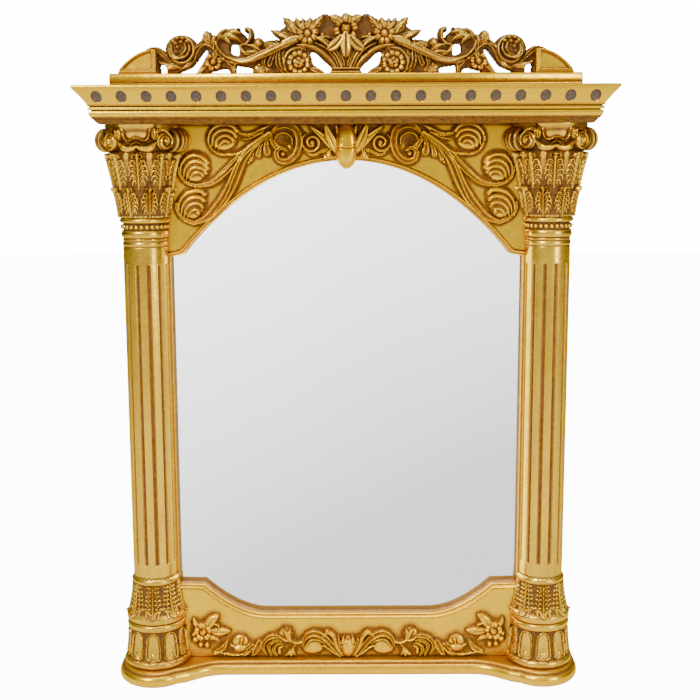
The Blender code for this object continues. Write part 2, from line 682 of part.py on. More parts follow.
panel = node("frame_panel", mesh_object("frame_panel", *relief_plate(outer, [sight], panel_relief, 0, F,
                                                                     clear_of_columns)),
             material("gilded panel", GOLD, 0.34, 0.85))
thinned(panel, PANEL_FACETS)

panel_cuts = group("panel_cuts")
guide(mesh_object("glass_rebate", *prism(opening(REBATE_WIDTH), 0.005, -REBATE_DEPTH)), panel_cuts)
HANGER_Z = HANG_Z
for side, x in (("left", -HANGER_X), ("right", HANGER_X)):
    half, tall = HANGER_WIDTH / 2 + FIT_GAP, HANGER_HEIGHT / 2 + FIT_GAP
    guide(mesh_object("hanger_recess_" + side, *block(x - half, x + half, 0.005, -HANGER_THICK - FIT_GAP,
                                                     HANGER_Z - tall, HANGER_Z + tall)), panel_cuts)
    reach = KEYHOLE_HEAD / 2 + 0.001
    guide(mesh_object("screw_pocket_" + side, *block(x - 0.012, x + 0.012, 0.004, -HANGER_THICK - KEYHOLE_POCKET,
                                                    HANGER_Z - reach, HANGER_Z + reach)), panel_cuts)
boolean(panel, "DIFFERENCE", panel_cuts)

# Hanging plates, glass and back board
steel = material("plated steel", (0.55, 0.56, 0.57), 0.35, 1.0)
for side, x in (("left", -HANGER_X), ("right", HANGER_X)):
    half, tall = HANGER_WIDTH / 2, HANGER_HEIGHT / 2
    hanger = node("keyhole_plate_" + side, mesh_object("hanger", *block(-half, half, 0, -HANGER_THICK,
                                                                       -tall, tall)), steel, (x, 0, HANGER_Z))
    keyhole = group("keyhole_" + side)
    ring = [2 * math.pi * k / 16 for k in range(16)]
    head = [(KEYHOLE_HEAD / 2 * math.cos(a) - 0.005, KEYHOLE_HEAD / 2 * math.sin(a)) for a in ring]
    slot = KEYHOLE_SLOT / 2
    guide(mesh_object("keyhole_head_" + side, *prism(head, 0.002, -HANGER_THICK - 0.002)), keyhole,
          (x, 0, HANGER_Z))
    guide(mesh_object("keyhole_slot_" + side, *block(-0.005, 0.007, 0.0025, -HANGER_THICK - 0.0025, -slot, slot)),
          keyhole, (x, 0, HANGER_Z))
    boolean(hanger, "DIFFERENCE", keyhole)

GLASS_FRONT_Y = -REBATE_DEPTH + FIT_GAP
BOARD_FRONT_Y = GLASS_FRONT_Y + GLASS_THICK + FIT_GAP
sheet = opening(REBATE_WIDTH - GLASS_CLEARANCE)
node("mirror_glass", mesh_object("mirror_glass", *prism(sheet, GLASS_FRONT_Y, GLASS_FRONT_Y + GLASS_THICK)),
     material("silvered glass", (0.9, 0.91, 0.92), 0.02, 1.0))
node("back_board", mesh_object("back_board", *prism(sheet, BOARD_FRONT_Y, BOARD_FRONT_Y + BOARD_THICK)),
     material("hardboard", (0.30, 0.20, 0.11), 0.8, 0.0))


# Columns: turned body, flutes, collar beads, leaves, volutes and lobes
def wrapped(shape, radius):
    """Relief drawn flat in front of the plane Y = 0, bent round the column at a radius that follows its height."""
    points, faces = shape
    bent = []
    for x, y, z in points:
        r = radius(z) - y
        bent.append((r * math.sin(x / radius(z)), -r * math.cos(x / radius(z)), z))
    return bent, faces


BEAD_PITCH = 0.0086
CAPITAL_RISE = CAPITAL_TOP_Z - ASTRAGAL_Z


def column_carving(collection, x):
    """Everything that stands proud of the turned body, the same on both columns."""
    where = (x, COLUMN_AXIS_Y, 0)

    def add(name, shape):
        carve(collection, name, shape, False, where)

    for k in range(-6, 7):
        add("bead_%d" % k, wrapped(dome((k * BEAD_PITCH, ASTRAGAL_Z - 0.0105), 0.0040, 0.0040, 0.0034, 0, 6),
                                   lambda z: SHAFT_RADIUS))
    for k in range(-3, 3):
        turn = math.radians(30 * k + 15)
        for name, low, high, angle in (("lower", ASTRAGAL_Z + 0.005, ASTRAGAL_Z + CAPITAL_RISE * 0.36, turn),
                                       ("upper", ASTRAGAL_Z + CAPITAL_RISE * 0.32,
                                        ASTRAGAL_Z + CAPITAL_RISE * 0.61, turn + math.radians(15))):
            if abs(angle) > math.radians(85):
                continue
            middle = bell((low + high) / 2)
            line = [Vector((angle * middle, low)), Vector((angle * middle, (low + high) / 2)),
                    Vector((angle * middle, high - 0.006)), Vector((angle * middle, high))]
            add("%s_leaf_%d" % (name, k),
                wrapped(carved(line, (0.019, 0.024, 0.020, 0.010), (0.004, 0.006, 0.0095, 0.010), 0, 5),
                        bell))
    for k in range(-2, 3):
        turn = math.radians(36 * k)
        line = [Vector((turn * skirt(z), z)) for z in (z0 + 0.014, 0.060, BAND_Z - 0.020, BAND_Z - 0.015)]
        add("lobe_%d" % k, wrapped(carved(line, (0.025, 0.024, 0.022, 0.010), (0.0035, 0.004, 0.004, 0.002),
                                          0, 4), skirt))
    for k in range(-3, 3):
        turn = math.radians(30 * k + 15)
        line = [Vector((turn * foot(z), z)) for z in (LEAF_ZONE_Z + 0.002, LEAF_ZONE_Z + 0.022,
                                                      SHAFT_BOTTOM_Z - 0.011)]
        add("foot_leaf_%d" % k, wrapped(carved(line, (0.017, 0.016, 0.012), (0.004, 0.0038, 0.003), 0, 3), foot))
    w, d = CAPITAL_HALF_WIDTH, CAPITAL_DEPTH
    back = 0.0
    waist = CAPITAL_TOP_Z - 0.014
    plan = [(-w * 0.93, back), (-w * 0.90, -d * 0.55), (-w * 0.97, -d), (-w * 0.80, -d * 1.05), (-w * 0.4, -d * 0.87),
            (0, -d * 0.83), (w * 0.4, -d * 0.87), (w * 0.80, -d * 1.05), (w * 0.97, -d), (w * 0.90, -d * 0.55),
            (w * 0.93, back)]
    add("abacus", prism(plan, waist - 0.004, CAPITAL_TOP_Z, "z"))
    for side in (-1, 1):
        hub = Vector((side * 0.0445, -0.0485, CAPITAL_TOP_Z - 0.025))
        for name, turn, reach in (("front", side * 38, 0.0135), ("outer", side * 72, 0.0135)):
            face = Matrix.Translation(hub) @ Matrix.Rotation(math.radians(turn), 4, "Z")
            if name == "outer":
                face = Matrix.Translation((side * 0.052, -0.030, hub.z)) @ Matrix.Rotation(
                    math.radians(turn), 4, "Z")
            curl = loft([[(r * math.cos(a), y, r * math.sin(a)) for a in
                          [2 * math.pi * (k + 0.5) / 10 for k in range(10)]]
                         for r, y in ((reach * 0.9, 0.016), (reach, -0.009), (reach * 0.86, -0.013),
                                      (reach * 0.5, -0.0115), (reach * 0.4, -0.016))])
            points = [tuple(face @ Vector(p)) for p in curl[0]]
            add("volute_%s_%d" % (name, side), (points, curl[1]))
    add("abacus_flower", dome((0, CAPITAL_TOP_Z - 0.011), 0.017, 0.010, 0.010, -d * 0.80))
    add("palmette", carved([Vector((0, CAPITAL_TOP_Z - 0.014)), Vector((0, CAPITAL_TOP_Z - 0.024)),
                            Vector((0, CAPITAL_TOP_Z - 0.036))], (0.030, 0.028, 0.008), (0.006, 0.008, 0.004),
                           -bell(CAPITAL_TOP_Z) + 0.001, 5))
    garland = [Vector((s * 0.027, CAPITAL_TOP_Z - 0.034 - 0.006 * (1 - s * s))) for s in (-1, -0.5, 0, 0.5, 1)]
    add("garland", wrapped(carved(garland, (0.004, 0.009, 0.006, 0.009, 0.004), (0.004, 0.008, 0.007, 0.008, 0.004),
                                  0, 4), bell))


for side, x in (("left", -COLUMN_X), ("right", COLUMN_X)):
    wall = -PANEL_THICK - FIT_GAP - COLUMN_AXIS_Y
    column = node("column_" + side, mesh_object("column_" + side, *half_turned(body, 14, wall)),
                  material("gilded column " + side, GOLD, 0.36, 0.85), (x, COLUMN_AXIS_Y, 0))
    carving = group("carving_" + side)
    column_carving(carving, x)
    boolean(column, "UNION", carving)
    cuts = group("column_cuts_" + side)
    flute_r = (FLUTE_WIDTH ** 2 / 4 + FLUTE_DEPTH ** 2) / (2 * FLUTE_DEPTH)
    centre_r = SHAFT_RADIUS - FLUTE_DEPTH + flute_r
    half = FLUTE_WIDTH / 2
    for k in range(-3, 3):
        turn = math.radians(30 * k + 15)
        levels = [(0.12, FLUTE_BOTTOM_Z), (0.78, FLUTE_BOTTOM_Z + half * 0.4), (1, FLUTE_BOTTOM_Z + half),
                  (1, FLUTE_TOP_Z - half), (0.78, FLUTE_TOP_Z - half * 0.4), (0.12, FLUTE_TOP_Z)]
        rings = []
        for share, z in levels:
            reach = centre_r + (1 - share) * FLUTE_DEPTH * 0.9
            rings.append([(reach * math.sin(turn) + share * flute_r * math.cos(math.pi * (j + 0.5) / 4),
                           -reach * math.cos(turn) + share * flute_r * math.sin(math.pi * (j + 0.5) / 4), z)
                          for j in range(8)])
        guide(mesh_object("flute_%s_%d" % (side, k), *loft(rings)), cuts, (x, COLUMN_AXIS_Y, 0))
    boolean(column, "DIFFERENCE", cuts)
    thinned(column, COLUMN_FACETS)


# Cornice: one mitred moulding, drawn as its projection at each height
def cornice_plan(spread):
    """The plan of the cornice where its profile stands in from the lip by a distance."""
    w, d = CORNICE_HALF_WIDTH - spread, CORNICE_DEPTH - spread
    return [(-w, 0), (-w, -d), (w, -d), (w, 0)]


bottom, top = CORNICE_BOTTOM_Z, CORNICE_TOP_Z
splay_low = top - LIP_THICK - SPLAY_HEIGHT
spread = CORNICE_SPREAD
steps = [(spread + 0.004, bottom), (spread, bottom + 0.005), (spread - 0.003, bottom + 0.012),
         (spread - 0.005, bottom + 0.0185), (spread - 0.0025, bottom + 0.0195), (spread - 0.0045, bottom + 0.0210),
         (spread - 0.0065, bottom + 0.0215), (spread - 0.007, splay_low - 0.004), (spread - 0.0085, splay_low - 0.0015),
         (spread - 0.0075, splay_low), (spread * 0.36, splay_low + SPLAY_HEIGHT * 0.58), (0.001, top - LIP_THICK),
         (0, top - LIP_THICK + 0.001), (0, top - 0.0015), (0.0015, top)]
cornice = node("cornice", mesh_object("cornice", *loft([[(x, y, z) for x, y in cornice_plan(s)]
                                                        for s, z in steps]), smooth_angle=20),
               material("gilded cornice", GOLD, 0.32, 0.85))
dimples = group("dimples")
lean = math.atan2(SPLAY_HEIGHT, spread - 0.0075)
for k in range(DIMPLE_COUNT):
    x = (k - (DIMPLE_COUNT - 1) / 2) * DIMPLE_PITCH
    z = splay_low + SPLAY_HEIGHT * 0.52
    y = -CORNICE_DEPTH + spread * 0.40
    disc = loft([[(r * math.cos(2 * math.pi * (j + 0.5) / 8), depth, r * math.sin(2 * math.pi * (j + 0.5) / 8))
                  for j in range(8)] for r, depth in ((DIMPLE_DIAMETER / 2, -0.012),
                                                       (DIMPLE_DIAMETER / 2, DIMPLE_DEPTH))])
    tilt = Matrix.Translation((x, y, z)) @ Matrix.Rotation(math.pi / 2 - lean, 4, "X")
    guide(mesh_object("dimple_%d" % k, [tuple(tilt @ Vector(p)) for p in disc[0]], disc[1]), dimples)
boolean(cornice, "DIFFERENCE", dimples)

# Crest: strip, end blocks and pierced floral plate
strip = block(-STRIP_HALF_WIDTH, STRIP_HALF_WIDTH, STRIP_BACK_Y, STRIP_FRONT_Y, STRIP_Z, STRIP_TOP_Z)
flowers = group("crest_solids")
crest_relief = []
left = [(-0.806, -0.094), (-0.802, 0.445), (-0.768, 0.412), (-0.759, 0.546), (-0.733, 0.629), (-0.703, 0.663), (-0.674, 0.629), (-0.649, 0.546), (-0.637, 0.428),
        (-0.606, 0.562), (-0.606, 0.629), (-0.589, 0.688), (-0.563, 0.646), (-0.546, 0.646), (-0.529, 0.730), (-0.491, 0.780), (-0.457, 0.746), (-0.445, 0.629),
        (-0.423, 0.613), (-0.423, 0.746), (-0.406, 0.763), (-0.393, 0.713), (-0.394, 0.579), (-0.360, 0.562), (-0.343, 0.495), (-0.275, 0.529), (-0.249, 0.613),
        (-0.313, 0.713), (-0.258, 0.780), (-0.261, 0.963), (-0.198, 0.913), (-0.151, 0.980), (-0.105, 0.980), (-0.071, 0.996), (-0.041, 0.963), (-0.024, 0.913)]
outline = spots(crest_at, *left)
outline = outline + [crest_at(*(-0.001, 0.988))] + [(-x, z) for x, z in reversed(outline)]
piercings = [
    ((-0.794, 0.058), (-0.789, 0.126), (-0.770, 0.117), (-0.762, 0.058), (-0.767, -0.001), (-0.788, -0.001)),
    ((-0.624, 0.311), (-0.605, 0.378), (-0.610, 0.193), (-0.627, 0.126), (-0.651, 0.016), (-0.703, -0.003), (-0.733, -0.003), (-0.732, 0.036),
     (-0.688, 0.055), (-0.659, 0.142)),
    ((-0.587, 0.002), (-0.574, 0.078), (-0.521, 0.061), (-0.501, -0.001)),
    ((-0.472, 0.142), (-0.468, 0.002), (-0.407, -0.003), (-0.399, 0.126), (-0.439, 0.176)),
    ((-0.498, 0.445), (-0.487, 0.512), (-0.466, 0.504), (-0.456, 0.428), (-0.463, 0.311), (-0.488, 0.328)),
    ((-0.155, 0.371), (-0.140, 0.380), (-0.105, 0.294), (-0.090, 0.198), (-0.064, 0.104), (-0.071, 0.018), (-0.090, 0.001),
     (-0.118, 0.122), (-0.144, 0.139), (-0.149, 0.242)),
]
holes = []
for loop in piercings:
    near = spots(crest_at, *loop)
    holes += [near, [(-x, z) for x, z in near]]
CREST_FRONT_Y = CREST_BACK_Y - CREST_PLATE_THICK
quarter = spots(crest_at, (-0.963, -0.026), (-0.960, 0.058), (-0.945, 0.176), (-0.918, 0.286), (-0.884, 0.378), (-0.845, 0.428), (-0.798, 0.445), (-0.801, -0.026))
carve(flowers, "end_block", prism(quarter, CREST_BACK_Y + 0.004, STRIP_FRONT_Y + 0.004))
field = spots(crest_at, (-0.924, 0.075), (-0.910, 0.176), (-0.880, 0.277), (-0.837, 0.344), (-0.839, 0.075))
carve(flowers, "end_block_field", prism(field, CREST_BACK_Y - 0.01, STRIP_FRONT_Y + 0.0005))
C = CREST_FRONT_Y
for name, spot, radius, petals, rise, turn in (
    ("ball_flower", crest_at(*(-0.705, 0.420)), 0.0225, 6, 0.020, 0.5),
    ("low_bud_flower", crest_at(*(-0.565, 0.193)), 0.0125, 6, 0.012, 0.0),
    ("side_flower", crest_at(*(-0.160, 0.680)), 0.0195, 8, 0.020, 0.0),
    ("low_flower", crest_at(*(-0.208, 0.193)), 0.0195, 8, 0.018, 0.5),
):
    draw(crest_relief, rosette(spot, radius, petals, rise, turn))
draw(crest_relief, rosette(crest_at(*(-0.001, 0.730)), 0.0225, 6, 0.026, 0.5), False)
for name, line, widths, rises in (
    ("block_stem", spots(crest_at, (-0.837, 0.412), (-0.794, 0.412), (-0.765, 0.311)), (0.010, 0.010, 0.008), (0.012, 0.012)),
    ("rising_stem", spots(crest_at, (-0.694, 0.109), (-0.655, 0.210), (-0.628, 0.412), (-0.594, 0.512), (-0.560, 0.428)), (0.006, 0.012, 0.010),
     (0.010, 0.012)),
    ("c_loop", spots(crest_at, (-0.506, 0.243), (-0.539, 0.378), (-0.551, 0.529), (-0.529, 0.663), (-0.491, 0.713)), (0.008, 0.010, 0.010),
     (0.016, 0.016)),
    ("long_stem", spots(crest_at, (-0.556, 0.462), (-0.514, 0.277), (-0.455, 0.227), (-0.395, 0.277), (-0.335, 0.378), (-0.267, 0.495), (-0.216, 0.546)),
     (0.009, 0.016, 0.016, 0.014), (0.014, 0.016, 0.016)),
    ("hook", spots(crest_at, (-0.414, 0.746), (-0.398, 0.696), (-0.402, 0.596), (-0.428, 0.546)), (0.007, 0.009, 0.008), (0.012, 0.012)),
    ("leg_a", spots(crest_at, (-0.557, 0.227), (-0.591, 0.126), (-0.622, -0.010)), (0.010, 0.012, 0.014), (0.010, 0.010)),
    ("leg_b", spots(crest_at, (-0.531, 0.210), (-0.497, 0.142), (-0.481, -0.010)), (0.008, 0.009, 0.008), (0.010, 0.012)),
    ("handle", spots(crest_at, (-0.042, 0.126), (-0.076, 0.294), (-0.118, 0.412), (-0.169, 0.428)), (0.012, 0.011, 0.009), (0.012, 0.012)),
):
    draw(crest_relief, ridge(smooth_line(line, 5), widths, rises))
for name, base, tip, width, bend in (
    ("ball_leaf_a", crest_at(*(-0.719, 0.109)), crest_at(*(-0.812, 0.210)), 0.011, 0.1),
    ("ball_leaf_b", crest_at(*(-0.719, 0.075)), crest_at(*(-0.779, 0.024)), 0.010, 0.1),
    ("small_bud", crest_at(*(-0.572, 0.512)), crest_at(*(-0.606, 0.680)), 0.014, 0.0),
    ("loop_leaf_a", crest_at(*(-0.521, 0.579)), crest_at(*(-0.444, 0.696)), 0.014, 0.15),
    ("loop_leaf_b", crest_at(*(-0.513, 0.562)), crest_at(*(-0.454, 0.495)), 0.013, 0.15),
    ("mid_leaf_a", crest_at(*(-0.348, 0.328)), crest_at(*(-0.420, 0.445)), 0.011, 0.0),
    ("mid_leaf_b", crest_at(*(-0.267, 0.479)), crest_at(*(-0.347, 0.495)), 0.010, 0.1),
    ("hang_leaf_a", crest_at(*(-0.237, 0.445)), crest_at(*(-0.344, 0.142)), 0.010, -0.2),
    ("hang_leaf_b", crest_at(*(-0.237, 0.412)), crest_at(*(-0.293, 0.007)), 0.011, -0.2),
    ("hang_leaf_c", crest_at(*(-0.335, 0.243)), crest_at(*(-0.362, -0.010)), 0.014, -0.1),
    ("spray_a", crest_at(*(-0.194, 0.546)), crest_at(*(-0.313, 0.721)), 0.015, 0.0),
    ("spray_b", crest_at(*(-0.186, 0.629)), crest_at(*(-0.266, 0.963)), 0.015, 0.0),
    ("spray_c", crest_at(*(-0.169, 0.713)), crest_at(*(-0.194, 0.946)), 0.013, 0.0),
    ("spray_d", crest_at(*(-0.143, 0.746)), crest_at(*(-0.101, 0.980)), 0.013, 0.0),
    ("upper_leaf", crest_at(*(-0.029, 0.796)), crest_at(*(-0.075, 1.005)), 0.014, 0.0),
    ("side_leaf", crest_at(*(-0.024, 0.629)), crest_at(*(-0.093, 0.395)), 0.018, 0.1),
    ("foot_scroll", crest_at(*(-0.165, 0.109)), crest_at(*(-0.093, -0.018)), 0.010, 0.0),
):
    draw(crest_relief, leaf(base, tip, width, 0.013, bend))
draw(crest_relief, leaf(crest_at(*(-0.001, 0.596)), crest_at(*(-0.001, 0.277)), 0.015, 0.019), False)
draw(crest_relief, leaf(crest_at(*(-0.001, 0.830)), crest_at(*(-0.001, 1.005)), 0.016, 0.014), False)
draw(crest_relief, ridge([Vector(crest_at(*p)) for p in ((-0.001, -0.043), (-0.001, 0.126), (-0.001, 0.277),
                                                               (-0.001, 0.428), (-0.001, 0.546))],
                                (0.052, 0.046, 0.056, 0.086, 0.104), (0.014, 0.011, 0.012, 0.013, 0.010)), False)
for name, top_spot, foot_spot in (("rib_outer", crest_at(*(-0.122, 0.479)), crest_at(*(-0.050, 0.142))),
                                  ("rib_inner", crest_at(*(-0.063, 0.412)), crest_at(*(-0.025, 0.142)))):
    draw(crest_relief, ridge([Vector(foot_spot), (Vector(foot_spot) + Vector(top_spot)) / 2 + Vector((0.003, 0)),
                                 Vector(top_spot)], (0.005, 0.007, 0.008), (0.015, 0.016, 0.014)))
crest = node("crest", mesh_object("crest", *relief_plate(outline, holes, crest_relief, CREST_BACK_Y, C)),
             material("antiqued crest", (0.42, 0.27, 0.09), 0.4, 0.8))
thinned(crest, CREST_FACETS)
for name, z, rise in (("foot_band_low", STRIP_TOP_Z + 0.0022, 0.017), ("foot_band_high", STRIP_TOP_Z + 0.0095, 0.0155)):
    carve(flowers, name, block(-0.0265, 0.0265, C + SINK, C - rise, z - 0.0026, z + 0.0026), False)
guide(mesh_object("strip", *strip), flowers)
boolean(crest, "UNION", flowers)


# Shelf with a round bulge under each column
def shelf_plan(inset):
    """Plan of the shelf, drawn in by an inset on its front and sides."""
    w = SHELF_HALF_WIDTH - inset
    reach = -BULGE_FRONT_Y + COLUMN_AXIS_Y - inset
    half = []
    front = SHELF_FRONT_Y + inset
    half.append((0, front))
    half.append((-BULGE_INNER_X + 0.020, front))
    half.append((-BULGE_INNER_X, front - 0.003))
    half.append((-BULGE_INNER_X - 0.018, front - 0.012))
    spread_x = w - COLUMN_X
    for k in range(9):
        a = math.radians(-38 + 128 * k / 8)
        x = -COLUMN_X - math.sin(a) * spread_x
        half.append((x, COLUMN_AXIS_Y - reach * math.cos(a)))
    half.append((-w, 0))
    return [(x, y) for x, y in half] + [(-x, y) for x, y in reversed(half[1:])]


levels = ((SHELF_NOSE * 0.8, 0), (SHELF_NOSE * 0.25, SHELF_THICK * 0.16), (0, SHELF_THICK * 0.40),
          (SHELF_NOSE * 0.12, SHELF_THICK * 0.68), (SHELF_NOSE * 0.5, SHELF_THICK * 0.9),
          (SHELF_NOSE, SHELF_THICK))
node("base_shelf", mesh_object("base_shelf", *loft([[(x, min(y, 0), z) for x, y in shelf_plan(inset)]
                                                    for inset, z in levels])),
     material("gilded shelf", GOLD, 0.33, 0.85))
bpy.context.view_layer.update()
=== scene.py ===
"""Looks of the gilded column mirror: carved gilding, antiqued crest, silvered glass, plain pale studio.

The carving is drawn in millimetres, as heights over its ground, with X across and Z up from the underside of
the shelf. The points of its outlines and stems were chosen on the photo.
"""

import math

import bmesh
import bpy
import numpy as np
from mathutils import Matrix, Vector
from mathutils.geometry import delaunay_2d_cdt


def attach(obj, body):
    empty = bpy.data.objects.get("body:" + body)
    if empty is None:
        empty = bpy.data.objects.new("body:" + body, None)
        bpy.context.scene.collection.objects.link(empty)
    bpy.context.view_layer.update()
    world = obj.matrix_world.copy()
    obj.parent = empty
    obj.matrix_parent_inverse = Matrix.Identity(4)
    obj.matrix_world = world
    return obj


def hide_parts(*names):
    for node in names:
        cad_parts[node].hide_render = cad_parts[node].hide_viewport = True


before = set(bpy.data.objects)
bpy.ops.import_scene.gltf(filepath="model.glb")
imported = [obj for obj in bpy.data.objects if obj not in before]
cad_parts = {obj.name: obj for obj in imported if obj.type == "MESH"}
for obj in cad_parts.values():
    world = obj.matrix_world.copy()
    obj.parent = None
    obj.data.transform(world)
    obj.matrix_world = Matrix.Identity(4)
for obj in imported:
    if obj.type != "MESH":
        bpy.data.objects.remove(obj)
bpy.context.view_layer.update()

# Levels, in millimetres
HANG = 890.5
GROUND = 30.0
PANEL_HALF = 356.0
PANEL_TOP = 913.7
SHELF_TOP = 24.5
OPENING_HALF = 283.5
OPENING_TOP = 858.0
OPENING_BOTTOM = 101.5
SPRING = 705.0
FOOT_CORNER = 153.5
REBATE = 9.0
COLUMN_X = 322.5
COLUMN_Y = -34.0
SHAFT = 35.7
CORNICE_LOW = 914.0
CORNICE_TOP = 971.0
CORNICE_HALF = 411.0
CORNICE_DEPTH = 135.0
DIMPLES = 21
DIMPLE_PITCH = 37.5
STRIP_LOW = 971.3
STRIP_TOP = 990.8
CREST_GROUND = 56.0
CREST_BACK = 38.0
PITCH = 1.1


# Materials
def new_material(name):
    made = bpy.data.materials.new(name)
    made.use_nodes = True
    tree = made.node_tree
    return made, tree, tree.nodes["Principled BSDF"]


def noise(tree, scale, detail=3.0, rough=0.55, stretch=None):
    place = tree.nodes.new("ShaderNodeTexCoord")
    spot = place.outputs["Object"]
    if stretch:
        fit = tree.nodes.new("ShaderNodeMapping")
        fit.inputs["Scale"].default_value = stretch
        tree.links.new(spot, fit.inputs["Vector"])
        spot = fit.outputs["Vector"]
    made = tree.nodes.new("ShaderNodeTexNoise")
    made.inputs["Scale"].default_value = scale
    made.inputs["Detail"].default_value = detail
    made.inputs["Roughness"].default_value = rough
    tree.links.new(spot, made.inputs["Vector"])
    return made.outputs["Fac"]


def ramp(tree, value, *stops):
    made = tree.nodes.new("ShaderNodeValToRGB")
    line = made.color_ramp
    while len(line.elements) < len(stops):
        line.elements.new(0.5)
    for element, (at, colour) in zip(line.elements, stops):
        element.position = at
        if isinstance(colour, (int, float)):
            colour = (colour, colour, colour)
        element.color = (*colour, 1)
    tree.links.new(value, made.inputs["Fac"])
    return made.outputs["Color"]


def sums(tree, kind, a, b, clamp=False):
    made = tree.nodes.new("ShaderNodeMath")
    made.operation = kind
    made.use_clamp = clamp
    for socket, value in zip(made.inputs, (a, b)):
        if isinstance(value, (int, float)):
            socket.default_value = value
        else:
            tree.links.new(value, socket)
    return made.outputs["Value"]


def blended(tree, share, a, b):
    made = tree.nodes.new("ShaderNodeMix")
    made.data_type = "RGBA"
    for socket, value in ((made.inputs["Factor"], share), (made.inputs["A"], a), (made.inputs["B"], b)):
        if isinstance(value, tuple):
            socket.default_value = (*value, 1)
        elif isinstance(value, (int, float)):
            socket.default_value = value
        else:
            tree.links.new(value, socket)
    return made.outputs["Result"]


def bumped(tree, shader, height, strength, distance):
    made = tree.nodes.new("ShaderNodeBump")
    made.inputs["Strength"].default_value = strength
    made.inputs["Distance"].default_value = distance
    tree.links.new(height, made.inputs["Height"])
    tree.links.new(made.outputs["Normal"], shader.inputs["Normal"])


# dark brown that the darkening ends in: patina and painted shade
PATINA_SHADE_BROWN = (0.062, 0.034, 0.017)


def gilding(name, bright, deep, patina=1.0, gloss=0.23, streak=None):
    """Burnished leaf over red clay, with brown patina left in the hollows, and painted shade in the same
    hollows and in occluded places.
    """
    made, tree, shader = new_material(name)
    broad = ramp(tree, noise(tree, 9, 3), (0.30, 0.0), (0.72, 1.0))
    mottle = ramp(tree, noise(tree, 70, 5, 0.65), (0.38, 0.0), (0.70, 1.0))
    leaf_tone = blended(tree, sums(tree, "MULTIPLY", broad, 0.55), bright, deep)
    leaf_tone = blended(tree, sums(tree, "MULTIPLY", mottle, 0.22), leaf_tone, deep)
    if streak:
        rubbed = ramp(tree, noise(tree, 14, 4, 0.6, streak), (0.50, 0.0), (0.78, 1.0))
        leaf_tone = blended(tree, sums(tree, "MULTIPLY", rubbed, 0.35), leaf_tone,
                            tuple(0.45 * c for c in deep))
    # the darkening: the per-vertex value holds patina and painted shade, and ambient occlusion paints shade
    # into corners and under overhangs
    patina_and_painted_shade = tree.nodes.new("ShaderNodeAttribute")
    patina_and_painted_shade.attribute_name = "patina_and_painted_shade"
    shade = tree.nodes.new("ShaderNodeAmbientOcclusion")
    shade.inputs["Distance"].default_value = 0.008
    shade.samples = 8
    occlusion_shade = ramp(tree, shade.outputs["AO"], (0.32, 1.0), (0.78, 0.0))
    hollow = ramp(tree, patina_and_painted_shade.outputs["Fac"], (0.02, 0.0), (0.62, 1.0))
    patina_shade_mix = sums(tree, "MAXIMUM", hollow, sums(tree, "MULTIPLY", occlusion_shade, 0.62))
    uneven = ramp(tree, noise(tree, 160, 4, 0.7), (0.25, 0.55), (0.70, 1.0))
    patina_shade_mix = sums(tree, "MULTIPLY", patina_shade_mix, uneven)
    flecks = ramp(tree, noise(tree, 420, 2, 0.5), (0.70, 0.0), (0.76, 1.0))
    patina_shade_mix = sums(tree, "MAXIMUM", patina_shade_mix, sums(tree, "MULTIPLY", flecks, 0.30))
    # the patina argument scales the whole darkening, patina and painted shade alike
    patina_shade_mix = sums(tree, "MULTIPLY", patina_shade_mix, patina, True)
    # a browner tone, then the dark brown, fill the darkened places: patina and painted shade
    warm = blended(tree, sums(tree, "MULTIPLY", patina_shade_mix, 1.6, True), leaf_tone, tuple(c * k for c, k in zip(
        deep, (0.66, 0.45, 0.80))))
    tree.links.new(blended(tree, sums(tree, "POWER", patina_shade_mix, 1.5), warm, PATINA_SHADE_BROWN), shader.inputs["Base Color"])
    tree.links.new(sums(tree, "SUBTRACT", 1.0, sums(tree, "MULTIPLY", patina_shade_mix, 0.75)),
                   shader.inputs["Metallic"])
    shader.inputs["Specular Tint"].default_value = (1.0, 0.78, 0.30, 1)
    rough = sums(tree, "ADD", gloss, sums(tree, "MULTIPLY", mottle, 0.12))
    tree.links.new(sums(tree, "ADD", rough, sums(tree, "MULTIPLY", patina_shade_mix, 0.28), True),
                   shader.inputs["Roughness"])
    grain = sums(tree, "ADD", noise(tree, 130, 3), sums(tree, "MULTIPLY", noise(tree, 700, 2), 0.35))
    bumped(tree, shader, grain, 0.22, 0.0008)
    return made


BRIGHT = (1.0, 0.635, 0.008)
DEEP = (0.86, 0.47, 0.006)
gilt = gilding("gilding, burnished", BRIGHT, DEEP)
# a lighter copy: its darkening, patina and painted shade, is cut to 0.55 so the acorn reads as lit
gilt_less_shade = gilding("gilding, less painted shade", BRIGHT, DEEP, 0.55)
gilt_column = gilding("gilding, rubbed", (0.97, 0.63, 0.045), (0.66, 0.38, 0.030), 1.0, 0.22, (3, 3, 0.25))
gilt_crest = gilding("gilding, antiqued", (0.88, 0.57, 0.080), (0.58, 0.34, 0.045), 1.0, 0.25)


def dried_patina():
    """Brown wax and dust that fill the sunk discs."""
    made, tree, shader = new_material("patina, dried")
    tree.links.new(ramp(tree, noise(tree, 220, 4, 0.6), (0.3, (0.075, 0.048, 0.030)),
                        (0.7, (0.155, 0.105, 0.075))),
                   shader.inputs["Base Color"])
    tree.links.new(ramp(tree, noise(tree, 90, 2), (0.3, 0.48), (0.7, 0.66)), shader.inputs["Roughness"])
    bumped(tree, shader, noise(tree, 300, 3), 0.3, 0.0005)
    return made


patina = dried_patina()


